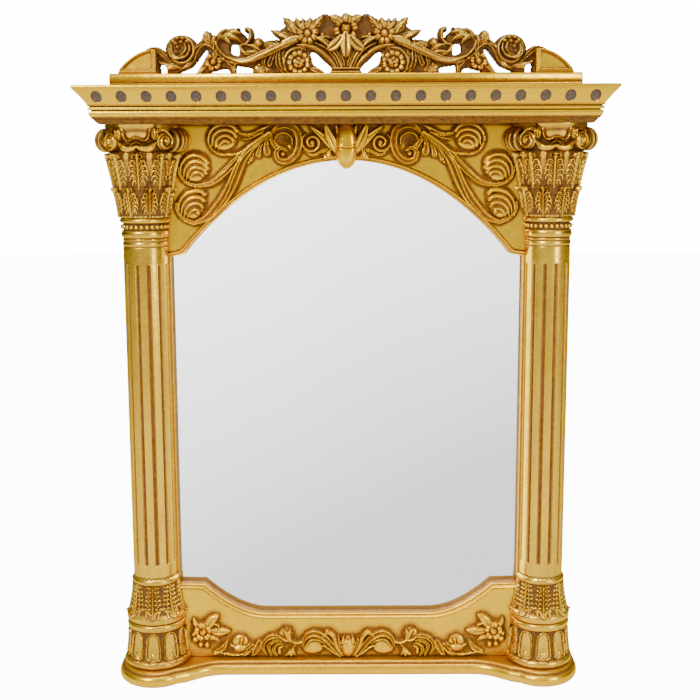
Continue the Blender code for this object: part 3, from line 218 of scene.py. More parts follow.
def painted_back(name, colour):
    """Toned size brushed over the wood, with its grain showing through."""
    made, tree, shader = new_material(name)
    grain = noise(tree, 30, 5, 0.6, (1, 1, 9))
    tone = ramp(tree, grain, (0.3, tuple(0.6 * c for c in colour)), (0.7, colour))
    brushed = noise(tree, 260, 2, 0.5, (8, 1, 1))
    tree.links.new(blended(tree, sums(tree, "MULTIPLY", brushed, 0.4), tone,
                           tuple(1.3 * c for c in colour)),
                   shader.inputs["Base Color"])
    tree.links.new(ramp(tree, brushed, (0.3, 0.62), (0.7, 0.82)), shader.inputs["Roughness"])
    bumped(tree, shader, grain, 0.35, 0.0006)
    return made


toned_wood = painted_back("toned wood, brushed", (0.20, 0.115, 0.045))
hardboard = painted_back("hardboard, pressed", (0.23, 0.145, 0.080))


def silvering():
    """Silver behind clear glass, very faintly uneven."""
    made, tree, shader = new_material("silvered glass")
    tree.links.new(ramp(tree, noise(tree, 3, 2), (0.3, (0.83, 0.845, 0.85)), (0.7, (0.87, 0.88, 0.885))),
                   shader.inputs["Base Color"])
    shader.inputs["Metallic"].default_value = 1.0
    shader.inputs["Roughness"].default_value = 0.0
    return made


def brushed_steel():
    made, tree, shader = new_material("plated steel")
    lines = noise(tree, 90, 3, 0.6, (1, 1, 18))
    tree.links.new(ramp(tree, lines, (0.3, (0.46, 0.47, 0.49)), (0.7, (0.66, 0.67, 0.69))),
                   shader.inputs["Base Color"])
    shader.inputs["Metallic"].default_value = 1.0
    tree.links.new(ramp(tree, lines, (0.3, 0.24), (0.7, 0.42)), shader.inputs["Roughness"])
    bumped(tree, shader, lines, 0.2, 0.0003)
    return made


# Relief: heights over a drawing, in millimetres
def curve(points, steps=7):
    """Catmull-Rom curve through the points."""
    ends = np.array(points, float)
    ends = np.vstack([2 * ends[0] - ends[1], ends, 2 * ends[-1] - ends[-2]])
    line = []
    for k in range(len(points) - 1):
        a, b, c, d = ends[k : k + 4]
        for u in np.arange(steps) / steps:
            line.append(0.5 * (2 * b + (c - a) * u + (2 * a - 5 * b + 4 * c - d) * u * u
                               + (3 * b - a - 3 * c + d) * u ** 3))
    return np.array(line + [ends[-2]])


def arc(centre, radius, start, end, steps=20, inner=None):
    """Part of a circle between two angles in degrees, winding in to an inner radius if there is one."""
    a = np.radians(np.linspace(start, end, steps))
    r = np.linspace(radius, radius if inner is None else inner, steps)
    return np.stack([centre[0] + r * np.cos(a), centre[1] + r * np.sin(a)], 1)


def smooth_max(a, b, k):
    m = np.maximum(k - np.abs(a - b), 0) / k
    return np.maximum(a, b) + m * m * k * 0.25


def section(kind, s):
    """Height of a cut across a stem, from its middle (0) to its edge (1)."""
    e = np.clip(np.abs(s), 0, 1)
    if kind == "round":
        return np.sqrt(1 - e ** 2)
    if kind == "flat":
        return np.sqrt(1 - e ** 4)
    if kind == "keel":
        return (1 - e) ** 0.8 * 0.9 + 0.1 * np.sqrt(1 - e ** 2)
    if kind == "hollow":
        rim = np.sqrt(np.clip(1 - ((e - 0.74) / 0.26) ** 2, 0, 1))
        return np.where(e < 0.74, 0.50 + 0.50 * (e / 0.74) ** 2.4, rim)
    if kind == "blade":
        return np.sqrt(1 - e ** 8) * (0.88 + 0.12 * e) - 0.12 * np.exp(-(e / 0.12) ** 2)
    if kind == "lined":
        return np.sqrt(1 - e ** 4) - 0.30 * np.exp(-((e - 0.50) / 0.13) ** 2)
    return np.sqrt(1 - e ** 2.4) - 0.22 * np.exp(-(e / 0.11) ** 2)


def ribbon(path, halves, rises, top="round", lobes=0, lean=1.2, bite=0.22):
    """Relief along a path: half widths and heights are read evenly along it, and lobes scallop its edges."""
    path = np.array(path, float)
    count = len(path) - 1
    at_h, at_r = np.linspace(0, 1, len(halves)), np.linspace(0, 1, len(rises))
    reach = max(halves) + 2.5
    a, ab = path[:-1], np.diff(path, axis=0)
    size = (ab * ab).sum(-1) + 1e-12

    def height(x, z):
        at = np.stack([x.ravel(), z.ravel()], 1)
        d = at[:, None] - a
        t = np.clip((d * ab).sum(-1) / size, 0, 1)
        off = d - t[..., None] * ab
        where = (np.arange(count) + t) / count
        half = np.interp(where, at_h, halves)
        share = np.sqrt((off ** 2).sum(-1)) / half
        best = share.argmin(1)
        rows = np.arange(len(at))
        share, where, half = share[rows, best], where[rows, best], half[rows, best]
        rise = np.interp(where, at_r, rises)
        if lobes:
            edge = np.abs(np.sin(math.pi * (where * lobes - lean)))
            share = share / (1 - bite * (1 - edge) * np.clip(share, 0, 1))
            ripple = np.abs(np.sin(math.pi * (where * lobes - lean * np.clip(share, 0, 1))))
            cut = 0.34 * (1 - ripple) ** 2 * np.clip(share * 1.6, 0, 1)
        else:
            cut = 0
        up = rise * (section(top, share) - cut)
        up = np.where(share < 1, up, -(share - 1) * half * 2.5)
        return up.reshape(x.shape)

    return path.min(0) - reach, path.max(0) + reach, height


def stem(points, widths, rises, top="round", **more):
    return ribbon(curve(points), [w / 2 for w in widths], rises, top, **more)


def leaf(base, tip, width, rise, bend=0.0, top="vein", lobes=0, curl=1.0, **more):
    """A pointed leaf; curl lifts its tip."""
    base, tip = np.array(base, float), np.array(tip, float)
    along = tip - base
    middle = (base + tip) / 2 + np.array([-along[1], along[0]]) * bend
    t = np.linspace(0, 1, 9)
    halves = width / 2 * (0.06 + 0.94 * np.sin(math.pi * (0.14 + 0.86 * t) ** 0.85))
    halves[-1] = width * 0.04
    rises = rise * (0.62 + 0.38 * np.sin(math.pi * np.clip(t, 0, 0.5))) * (1 + (curl - 1) * t ** 2)
    return ribbon(curve([base, middle, tip], 8), halves, rises, top, lobes, **more)


def boss(centre, rx, rz, rise, power=2.0):
    def height(x, z):
        s = np.hypot((x - centre[0]) / rx, (z - centre[1]) / rz)
        up = rise * np.sqrt(np.clip(1 - s ** power, 0, 1))
        return np.where(s < 1, up, -(s - 1) * min(rx, rz) * 2.5)
    reach = np.array([rx, rz]) + 2.5
    return np.array(centre) - reach, np.array(centre) + reach, height


def flower(centre, radius, petals, rise, turn=0.0, hub=0.30, beads=0, notch=0.30, cup=0.45, hub_rise=1.1,
           veins=0,
           cleft=0.34, gap=0.35):
    """Petals round a boss, which may carry a ring of beads."""
    def height(x, z):
        dx, dz = x - centre[0], z - centre[1]
        r = np.hypot(dx, dz)
        a = np.arctan2(dz, dx) / (2 * math.pi) * petals - turn
        u = np.abs(a - np.round(a)) * 2
        edge = radius * (1 - notch * u ** 2.6)
        s = r / edge
        rim = np.sqrt(np.clip(1 - np.clip((s - 0.72) / 0.28, 0, 1) ** 2, 0, 1))
        up = rise * (1 - cup + cup * np.clip(s, 0, 0.85)) * rim * (1 - 0.16 * u ** 2)
        up -= rise * cleft * np.exp(-((1 - u) / 0.10) ** 2) * np.clip(s * 1.6, 0, 1)
        up -= rise * 0.16 * np.exp(-(u / 0.16) ** 2) * np.clip(s, 0, 1)
        if veins:
            up -= rise * 0.10 * (0.5 + 0.5 * np.cos(math.pi * 2 * veins * a)) * np.clip(s, 0, 1)
        up = np.where(s < 1, up, -(s - 1) * radius * 1.5)
        c = r / (radius * hub)
        well = rise * gap * np.exp(-((c - 1.15) / 0.25) ** 2)
        up = up - well
        middle = rise * (0.55 + (hub_rise - 0.55) * np.sqrt(np.clip(1 - c ** 2, 0, 1)))
        up = np.where(c < 1, np.maximum(up, middle), up)
        if beads:
            ring = radius * hub * 0.86
            b = np.arctan2(dz, dx) / (2 * math.pi) * beads
            away = np.hypot(r - ring, (b - np.round(b)) / beads * 2 * math.pi * ring)
            size = math.pi * ring / beads * 0.95
            up = np.maximum(up, np.where(away < size, rise * hub_rise * 0.85
                                         + size * 0.8 * np.sqrt(np.clip(1 - (away / size) ** 2, 0, 1)),
                                         -99))
        return up
    reach = radius + 2.5
    return np.array(centre) - reach, np.array(centre) + reach, height


def blurred(values, cells):
    """Three box filters along both axes, with the edges held."""
    cells = max(1, int(round(cells)))
    for _ in range(3):
        for axis in (0, 1):
            pad = [(0, 0), (0, 0)]
            pad[axis] = (cells + 1, cells)
            total = np.cumsum(np.pad(values, pad, mode="edge"), axis=axis)
            if axis == 0:
                values = (total[2 * cells + 1 :] - total[: -2 * cells - 1]) / (2 * cells + 1)
            else:
                values = (total[:, 2 * cells + 1 :] - total[:, : -2 * cells - 1]) / (2 * cells + 1)
    return values


def hollows(heights, pitch, fine=1.6, broad=4.5):
    """How deep each point lies below what surrounds it, 0 to 1."""
    near = (blurred(heights, fine / pitch) - heights) / 0.9
    wide = (blurred(heights, broad / pitch) - heights) / 3.2
    return np.clip(np.clip(near, -0.6, 1) * 0.75 + np.clip(wide, -0.3, 1) * 0.6, 0, 1)


class Relief:
    """A grid of heights that shapes are laid on and cut from."""

    def __init__(self, x0, x1, z0, z1, pitch=PITCH):
        self.x = np.linspace(x0, x1, int(round((x1 - x0) / pitch)) + 1)
        self.z = np.linspace(z0, z1, int(round((z1 - z0) / pitch)) + 1)
        self.X, self.Z = np.meshgrid(self.x, self.z)
        self.H = np.zeros_like(self.X)
        self.pitch = pitch

    def window(self, low, high):
        i0, i1 = np.searchsorted(self.x, (low[0], high[0]))
        k0, k1 = np.searchsorted(self.z, (low[1], high[1]))
        return slice(k0, k1), slice(i0, i1)

    def lay(self, *shapes, blend=0.7, over=0.0):
        for low, high, height in shapes:
            part = self.window(low, high)
            if self.H[part].size:
                self.H[part] = smooth_max(self.H[part], height(self.X[part], self.Z[part]) + over, blend)

    def mirror(self):
        """Copies the left half onto the right."""
        self.H = np.maximum(self.H, self.H[:, ::-1])


def distance(x, z, loop):
    """Signed distance from a closed loop, negative inside it."""
    a = np.array(loop)
    ab = np.roll(a, -1, axis=0) - a
    at = np.stack([x.ravel(), z.ravel()], 1)
    best = np.full(len(at), 1e9)
    odd = np.zeros(len(at), bool)
    for p, q in zip(a, ab):
        d = at - p
        t = np.clip((d @ q) / (q @ q + 1e-12), 0, 1)
        best = np.minimum(best, ((d - t[:, None] * q) ** 2).sum(-1))
        end = p + q
        crosses = (p[1] > at[:, 1]) != (end[1] > at[:, 1])
        if crosses.any():
            cut = p[0] + (at[:, 1] - p[1]) * q[0] / (q[1] if q[1] else 1e-12)
            odd ^= crosses & (at[:, 0] < cut)
    return (np.sqrt(best) * np.where(odd, -1, 1)).reshape(x.shape)


# Meshes
def finish(obj, *materials, slot=None, smooth=40):
    bpy.context.scene.collection.objects.link(obj)
    for item in materials:
        obj.data.materials.append(item)
    obj.data.polygons.foreach_set("use_smooth", [True] * len(obj.data.polygons))
    if smooth < 180:
        obj.data.set_sharp_from_angle(angle=math.radians(smooth))
    return obj


def mesh_of(name, points, faces, patina_and_painted_shade=None):
    """A mesh from points in millimetres over the drawing's zero."""
    mesh = bpy.data.meshes.new(name)
    points = np.array(points, float) * 0.001
    points[:, 2] -= HANG * 0.001
    mesh.from_pydata(points.tolist(), [], [list(map(int, f)) for f in faces])
    # the per-vertex value darkens the gilding: patina and painted shade
    if patina_and_painted_shade is not None:
        made = mesh.attributes.new("patina_and_painted_shade", "FLOAT", "POINT")
        made.data.foreach_set("value", np.ascontiguousarray(patina_and_painted_shade, np.float32))
    mesh.update()
    return bpy.data.objects.new(name, mesh)


def grid_faces(rows, columns, keep=None):
    index = np.arange(rows * columns).reshape(rows, columns)
    quads = np.stack([index[:-1, :-1], index[:-1, 1:], index[1:, 1:], index[1:, :-1]], -1)
    return quads[keep] if keep is not None else quads.reshape(-1, 4)


def rim_of(faces):
    """Edges that only one face uses, in that face's direction."""
    seen = {}
    for face in faces:
        face = [v for v in face]
        for a, b in zip(face, face[1:] + face[:1]):
            seen[(a, b)] = True
    return [(a, b) for a, b in seen if (b, a) not in seen]


def skin(name, relief, keep, front, back, patina_and_painted_shade, *materials, slot=None):
    """A closed body from the kept cells of a relief: its front, its rim walls and a flat back."""
    rows, columns = relief.H.shape
    points = np.stack([relief.X.ravel(), -(front + relief.H.ravel()), relief.Z.ravel()], 1)
    faces = grid_faces(rows, columns, keep).tolist()
    used = np.unique([v for f in faces for v in f])
    number = np.full(len(points), -1)
    number[used] = np.arange(len(used))
    points, hollow = points[used], patina_and_painted_shade.ravel()[used]
    faces = [[int(number[v]) for v in f] for f in faces]
    edges = rim_of(faces)
    rim = sorted({v for edge in edges for v in edge})
    below = {v: len(points) + k for k, v in enumerate(rim)}
    low = points[rim].copy()
    low[:, 1] = -back
    points = np.vstack([points, low])
    hollow = np.concatenate([hollow, hollow[rim]])
    faces += [[b, a, below[a], below[b]] for a, b in edges]
    place = {v: k for k, v in enumerate(rim)}
    flat = [Vector((points[v][0], points[v][2])) for v in rim]
    lines = [(place[a], place[b]) for a, b in edges]
    made = delaunay_2d_cdt(flat, lines, [], 0, 1e-6)
    spots = np.array([tuple(p) for p in made[0]])
    tris = np.array(made[2])
    middle = spots[tris].mean(1)
    ends = np.array([[tuple(flat[i]), tuple(flat[j])] for i, j in lines])
    inside = np.zeros(len(tris), bool)
    for (x0, z0), (x1, z1) in ends:
        crosses = (z0 > middle[:, 1]) != (z1 > middle[:, 1])
        inside ^= crosses & (middle[:, 0] < x0 + (middle[:, 1] - z0) * (x1 - x0) / ((z1 - z0) or 1e-12))
    source = [below[rim[o[0]]] for o in made[3]]
    faces += [[source[c], source[b], source[a]] for a, b, c in tris[inside]]
    return finish(mesh_of(name, points, faces, hollow), *materials, slot=slot, smooth=180)


# Outline of the opening, and lines parallel to it
def bezier(a, b, c, d, steps):
    t = np.linspace(0, 1, steps + 1)[:, None]
    u = 1 - t
    a, b, c, d = map(np.array, (a, b, c, d))
    return a * u ** 3 + b * 3 * u * u * t + c * 3 * u * t * t + d * t ** 3


def opening(offset=0.0, steps=26):
    w, foot_x, arch_x = OPENING_HALF, -241.5, -263.0
    drop, rise = FOOT_CORNER - OPENING_BOTTOM, OPENING_TOP - SPRING
    foot = bezier((foot_x, FOOT_CORNER), (foot_x + 37.8, FOOT_CORNER - drop * 0.66),
                  (foot_x + 73.5, OPENING_BOTTOM),
                  (foot_x + 105, OPENING_BOTTOM), steps // 2)[::-1]
    arch = bezier((arch_x, SPRING + 4), (arch_x * 0.765, SPRING + rise * 0.53),
                  (arch_x * 0.42, OPENING_TOP),
                  (0, OPENING_TOP), steps)
    left = np.vstack([foot, [(-w, FOOT_CORNER + 1)], [(-w, SPRING)], arch])
    loop = np.vstack([left, (left[:-1] * (-1, 1))[::-1]])
    if not offset:
        return loop
    before = loop - np.roll(loop, 1, axis=0)
    after = np.roll(loop, -1, axis=0) - loop
    before /= np.linalg.norm(before, axis=1)[:, None]
    after /= np.linalg.norm(after, axis=1)[:, None]
    middle = before + after
    middle /= np.linalg.norm(middle, axis=1)[:, None]
    normal = np.stack([-middle[:, 1], middle[:, 0]], 1)
    return loop + normal * (offset / np.maximum(0.75, (middle * after).sum(1)))[:, None]


def prism(name, loop, low, high):
    """A closed outline in X, Z carried from one depth to another."""
    count = len(loop)
    points = [(x, -low, z) for x, z in loop] + [(x, -high, z) for x, z in loop]
    faces = [list(range(count))[::-1], list(range(count, 2 * count))]
    faces += [[k, (k + 1) % count, count + (k + 1) % count, count + k] for k in range(count)]
    return mesh_of(name, points, faces)


def outward(obj):
    work = bmesh.new()
    work.from_mesh(obj.data)
    bmesh.ops.remove_doubles(work, verts=work.verts, dist=1e-7)
    bmesh.ops.recalc_face_normals(work, faces=work.faces)
    work.to_mesh(obj.data)
    work.free()
    return obj


def cut_out(obj, cutters):
    """Cuts the cutters from an object for good."""
    holder = bpy.data.collections.new("cutters")
    bpy.context.scene.collection.children.link(holder)
    bpy.context.scene.collection.objects.link(obj)
    for cutter in cutters:
        holder.objects.link(outward(cutter))
    modifier = obj.modifiers.new("cut", "BOOLEAN")
    modifier.operand_type, modifier.collection, modifier.solver = "COLLECTION", holder, "EXACT"
    bpy.context.view_layer.update()
    cut = bpy.data.meshes.new_from_object(obj.evaluated_get(bpy.context.evaluated_depsgraph_get()))
    obj.modifiers.remove(modifier)
    obj.data = cut
    for cutter in cutters:
        bpy.data.objects.remove(cutter, do_unlink=True)
    bpy.data.collections.remove(holder)
    bpy.context.scene.collection.objects.unlink(obj)
    return obj


def block(name, x0, x1, y0, y1, z0, z1):
    return prism(name, [(x0, z0), (x1, z0), (x1, z1), (x0, z1)], y0, y1)


SIGHT = opening()


def piece(obj, *nodes):
    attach(obj, "root")
    if nodes:
        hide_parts(*nodes)
    return obj


# Upper part of the panel: fan scrolls on long stems, a C scroll with drops, leaves beside the acorn
def fan(relief, *fingers):
    """A shell scroll: nested fingers that swell towards their rounded ends."""
    for k, line in enumerate(fingers):
        relief.lay(stem(line, [w * (1 - 0.07 * k) for w in (1.8, 5.4, 8.2, 9.2, 9.4, 8.6)],
                        (6.0, 7.8, 9.2, 9.8, 9.8, 8.8)), blend=0.3)


def carve_spandrel():
    top = Relief(-PANEL_HALF, PANEL_HALF, 700.0, PANEL_TOP, 1.0)
    top.lay(boss((-194.3, 893.5), 21.5, 20.0, 5.6, 6.0), boss((-240.6, 845.6), 19.5, 21.5, 5.6, 6.0),
            boss((-246.6, 787.8), 19.0, 22.5, 5.6, 6.0))
    fan(top, ((-217.5, 884.9), (-216.3, 900.6), (-205.9, 911.5), (-191.6, 914.6), (-179.0, 911.5),
              (-172.7, 904.5)),
        ((-212.9, 880.2), (-211.0, 894.3), (-202.9, 903.4), (-191.0, 906.2), (-179.9, 902.8),
         (-174.5, 895.9)),
        ((-208.1, 877.1), (-205.7, 888.7), (-199.2, 895.3), (-190.3, 897.4), (-182.4, 894.0),
         (-178.4, 888.7)),
        ((-202.6, 874.6), (-200.1, 882.4), (-195.2, 887.7), (-189.5, 889.0), (-185.7, 885.9)))
    fan(top, ((-263.1, 836.2), (-262.0, 851.9), (-251.4, 864.5), (-237.8, 867.0), (-226.7, 862.2),
              (-221.3, 854.1)),
        ((-259.1, 831.4), (-256.9, 844.7), (-248.4, 854.8), (-236.5, 857.8), (-226.1, 853.2),
         (-220.8, 845.3)),
        ((-254.7, 827.6), (-252.1, 838.7), (-245.1, 846.3), (-235.8, 848.3), (-226.6, 844.4),
         (-223.2, 838.4)),
        ((-249.3, 824.8), (-247.3, 832.7), (-242.0, 838.4), (-235.3, 839.9), (-229.0, 837.4),
         (-227.4, 833.6)))
    fan(top, ((-268.0, 775.8), (-266.4, 793.4), (-255.8, 806.1), (-242.0, 810.8), (-231.7, 810.2),
              (-226.4, 805.1)),
        ((-264.3, 771.0), (-262.0, 785.7), (-253.1, 796.9), (-241.2, 801.0), (-232.0, 799.4),
         (-227.6, 794.9)),
        ((-260.2, 767.2), (-257.4, 779.3), (-250.1, 787.9), (-240.4, 791.3), (-232.8, 789.2),
         (-230.0, 784.8)),
        ((-255.1, 764.6), (-252.0, 773.3), (-246.8, 779.3), (-240.3, 781.2), (-236.2, 778.4),
         (-236.6, 773.9)))
    top.lay(boss((-186.3, 887.1), 3.6, 3.6, 10.4), boss((-228.1, 834.9), 3.8, 3.8, 10.6),
            boss((-237.9, 775.8), 3.6, 3.6, 10.4))
    top.lay(
        # rims that run on as stems
        ribbon(np.vstack([arc((-193.6, 892.3), 25.0, 172, 268, 14),
                          curve([(-192.4, 867.4), (-170.1, 869.9), (-150.8, 882.6),
               (-134.8, 894.3), (-122.0, 902.9)])]), (2.0, 2.2, 2.4, 3.0, 3.6, 3.4, 2.4),
               (7.5, 8.5, 9.5, 9.5, 9.0), "lined"),
        ribbon(np.vstack([arc((-241.3, 844.0), 24.4, 172, 262, 14),
                          curve([(-236.4, 818.4), (-213.9, 823.5), (-192.9, 840.1),
               (-170.2, 862.9), (-144.4, 885.7), (-122.0, 901.8)])]),
               (2.0, 2.2, 2.6, 4.6, 5.6, 5.2, 4.2, 2.6), (7.5, 8.5, 9.5, 10.0, 9.5), "hollow"),
        ribbon(np.vstack([arc((-246.6, 787.0), 25.0, 172, 258, 14),
                          curve([(-244.0, 759.2), (-222.9, 768.6), (-200.9, 791.0),
               (-184.5, 816.4), (-173.7, 840.9), (-162.2, 862.9), (-142.8, 884.1), (-120.4, 899.8)])]),
               (2.0, 2.2, 3.6, 7.2, 8.6, 8.4, 7.0, 4.4, 2.6), (7.5, 8.5, 10.0, 10.6, 10.2, 9.5), "hollow"),
        stem([(-213.2, 774.2), (-192.7, 800.5), (-179.4, 831.4), (-167.1, 858.2), (-146.0, 881.8)],
             (1.6, 3.0, 3.0, 2.4, 1.2),
             (8.0, 10.4, 10.6, 10.0)),
        stem([(-213.9, 823.5), (-192.8, 841.7), (-170.2, 863.7), (-147.6, 883.4)], (1.2, 2.4, 2.2, 1.2),
             (7.0, 9.6, 9.4)),
        stem([(-169.6, 900.6), (-153.8, 898.2), (-137.8, 902.9), (-125.1, 910.7)], (3.0, 5.4, 6.4, 2.0),
             (5.0, 7.5, 7.0), "hollow"),
        stem([(-165.0, 891.2), (-149.1, 893.5), (-131.5, 902.1)], (2.0, 3.6, 3.0), (4.0, 6.0, 6.5),
             "lined"),
        stem([(-141.0, 905.3), (-129.8, 909.2), (-118.7, 914.3)], (3.0, 6.0, 1.2), (6.0, 7.0, 5.0), "vein"),
        # drops under the C scroll
        stem([(-118.8, 899.8), (-118.1, 889.6), (-110.3, 879.4)], (2.6, 6.5, 10.0), (7.0, 9.0, 9.6),
             "hollow"),
        stem([(-122.8, 897.4), (-127.0, 883.4), (-125.5, 871.6)], (2.6, 7.0, 12.5), (6.5, 9.0, 9.2),
             "hollow"),
        stem([(-129.2, 892.0), (-136.5, 879.4), (-139.9, 866.9)], (2.2, 5.5, 9.0), (6.0, 8.0, 8.2),
             "hollow"),
        stem([(-137.3, 884.1), (-147.0, 871.6), (-151.9, 859.8)], (2.0, 3.8, 6.5), (5.5, 6.5, 6.8),
             "hollow"),
        boss((-155.5, 855.1), 2.6, 2.6, 6.0),
        # C scroll
        ribbon(curve([(-118.8, 901.2), (-107.6, 910.6), (-93.3, 913.1), (-79.1, 905.3), (-74.5, 886.5),
                      (-80.2, 867.7), (-93.8, 856.7),
                      (-107.3, 859.0), (-111.5, 870.0), (-104.7, 877.7), (-95.2, 873.9)], 6),
               (2.2, 4.4, 5.6, 5.8, 5.6, 5.2, 4.6, 3.8, 3.0, 2.2), (7.0, 9.5, 10.5, 10.5, 10.0, 9.5, 9.0),
               "hollow"),
        boss((-100.1, 868.3), 4.4, 4.4, 10.5),
        stem([(-114.2, 889.6), (-108.5, 898.2), (-97.4, 900.9), (-87.1, 894.3), (-85.6, 882.6)],
             (2.0, 3.0, 3.0, 3.0, 2.0),
             (7.0, 8.6, 8.6, 7.0)),
        stem([(-114.2, 889.6), (-110.1, 879.3), (-104.7, 877.7)], (2.0, 3.0, 2.0), (7.0, 8.0, 7.0)),
        # second volute and its tail
        ribbon(np.vstack([arc((-54.6, 886.0), 16.6, 130, 470, 30, 8.6),
                          arc((-54.6, 886.0), 8.6, 110, 300, 12, 5.2)]),
               (1.4, 2.8, 3.2, 2.9, 2.6, 2.2), (6.0, 8.6, 9.6, 9.4, 8.8), "round"),
        boss((-54.1, 885.9), 4.6, 4.6, 10.2),
        stem([(-68.2, 874.7), (-53.9, 866.1), (-38.0, 872.4), (-22.0, 876.3)], (1.8, 4.0, 5.0, 2.6),
             (6.0, 8.0, 8.0), "hollow"),
        # leaves against the acorn
        leaf((-16.5, 871.6), (-59.2, 913.1), 12.0, 9.5, -0.04, "blade"),
        leaf((-16.5, 874.7), (-35.3, 920.8), 15.0, 13.0, 0.02, "blade"),
        leaf((-14.1, 892.8), (-18.0, 919.6), 6.0, 7.5, -0.05, "vein"),
        leaf((-17.3, 872.4), (-45.0, 900.6), 6.5, 10.0, -0.06, "keel"),
        boss((-30.0, 862.6), 9.2, 10.8, 7.0, 3.2),
        leaf((-35.8, 849.7), (-25.2, 875.5), 16.0, 11.0, 0.0, "vein", 3),
    )
    top.mirror()
    away = distance(top.X, top.Z, SIGHT)
    # the plain ground dips under the sight bead, which is a piece of its own
    top.H = np.where((away < 9.0) & (top.H < 1.2), np.minimum(top.H, -2.2), top.H)
    keep = (away[:-1, :-1] > 3.5) & (away[1:, 1:] > 3.5) & (away[1:, :-1] > 3.5) & (away[:-1, 1:] > 3.5)
    # dark: patina and painted shade in the hollows, painted shade on the ground crowded by carving, the sunk
    # hole painted dark as shade, and painted shadow of the cornice along the top
    dark = hollows(np.where(away < 9.0, np.maximum(top.H, 0), top.H), top.pitch)
    crowded_ground_shade = blurred((top.H > 1.5).astype(float), 7.0 / top.pitch)
    dark = np.maximum(dark, 0.85 * np.clip((crowded_ground_shade - 0.42) * 3.2, 0, 1) * np.clip((3.0 - top.H) / 1.5, 0, 1))
    hole = (-98.3, 889.2)
    sunk = np.clip(1.6 - np.hypot(np.abs(top.X) + hole[0], (top.Z - hole[1]) * 0.8) / 7.5, 0,
                   1) * (top.H < 5.0)
    top.H -= 3.2 * sunk
    dark = np.maximum(dark, np.maximum(sunk, 0.55 * np.clip(1 - (PANEL_TOP - top.Z) / 5.0, 0, 1)))
    piece(skin("carved_spandrels", top, keep, GROUND, 25.5, dark, gilt, slot="gilt"), "frame_panel")


carve_spandrel()


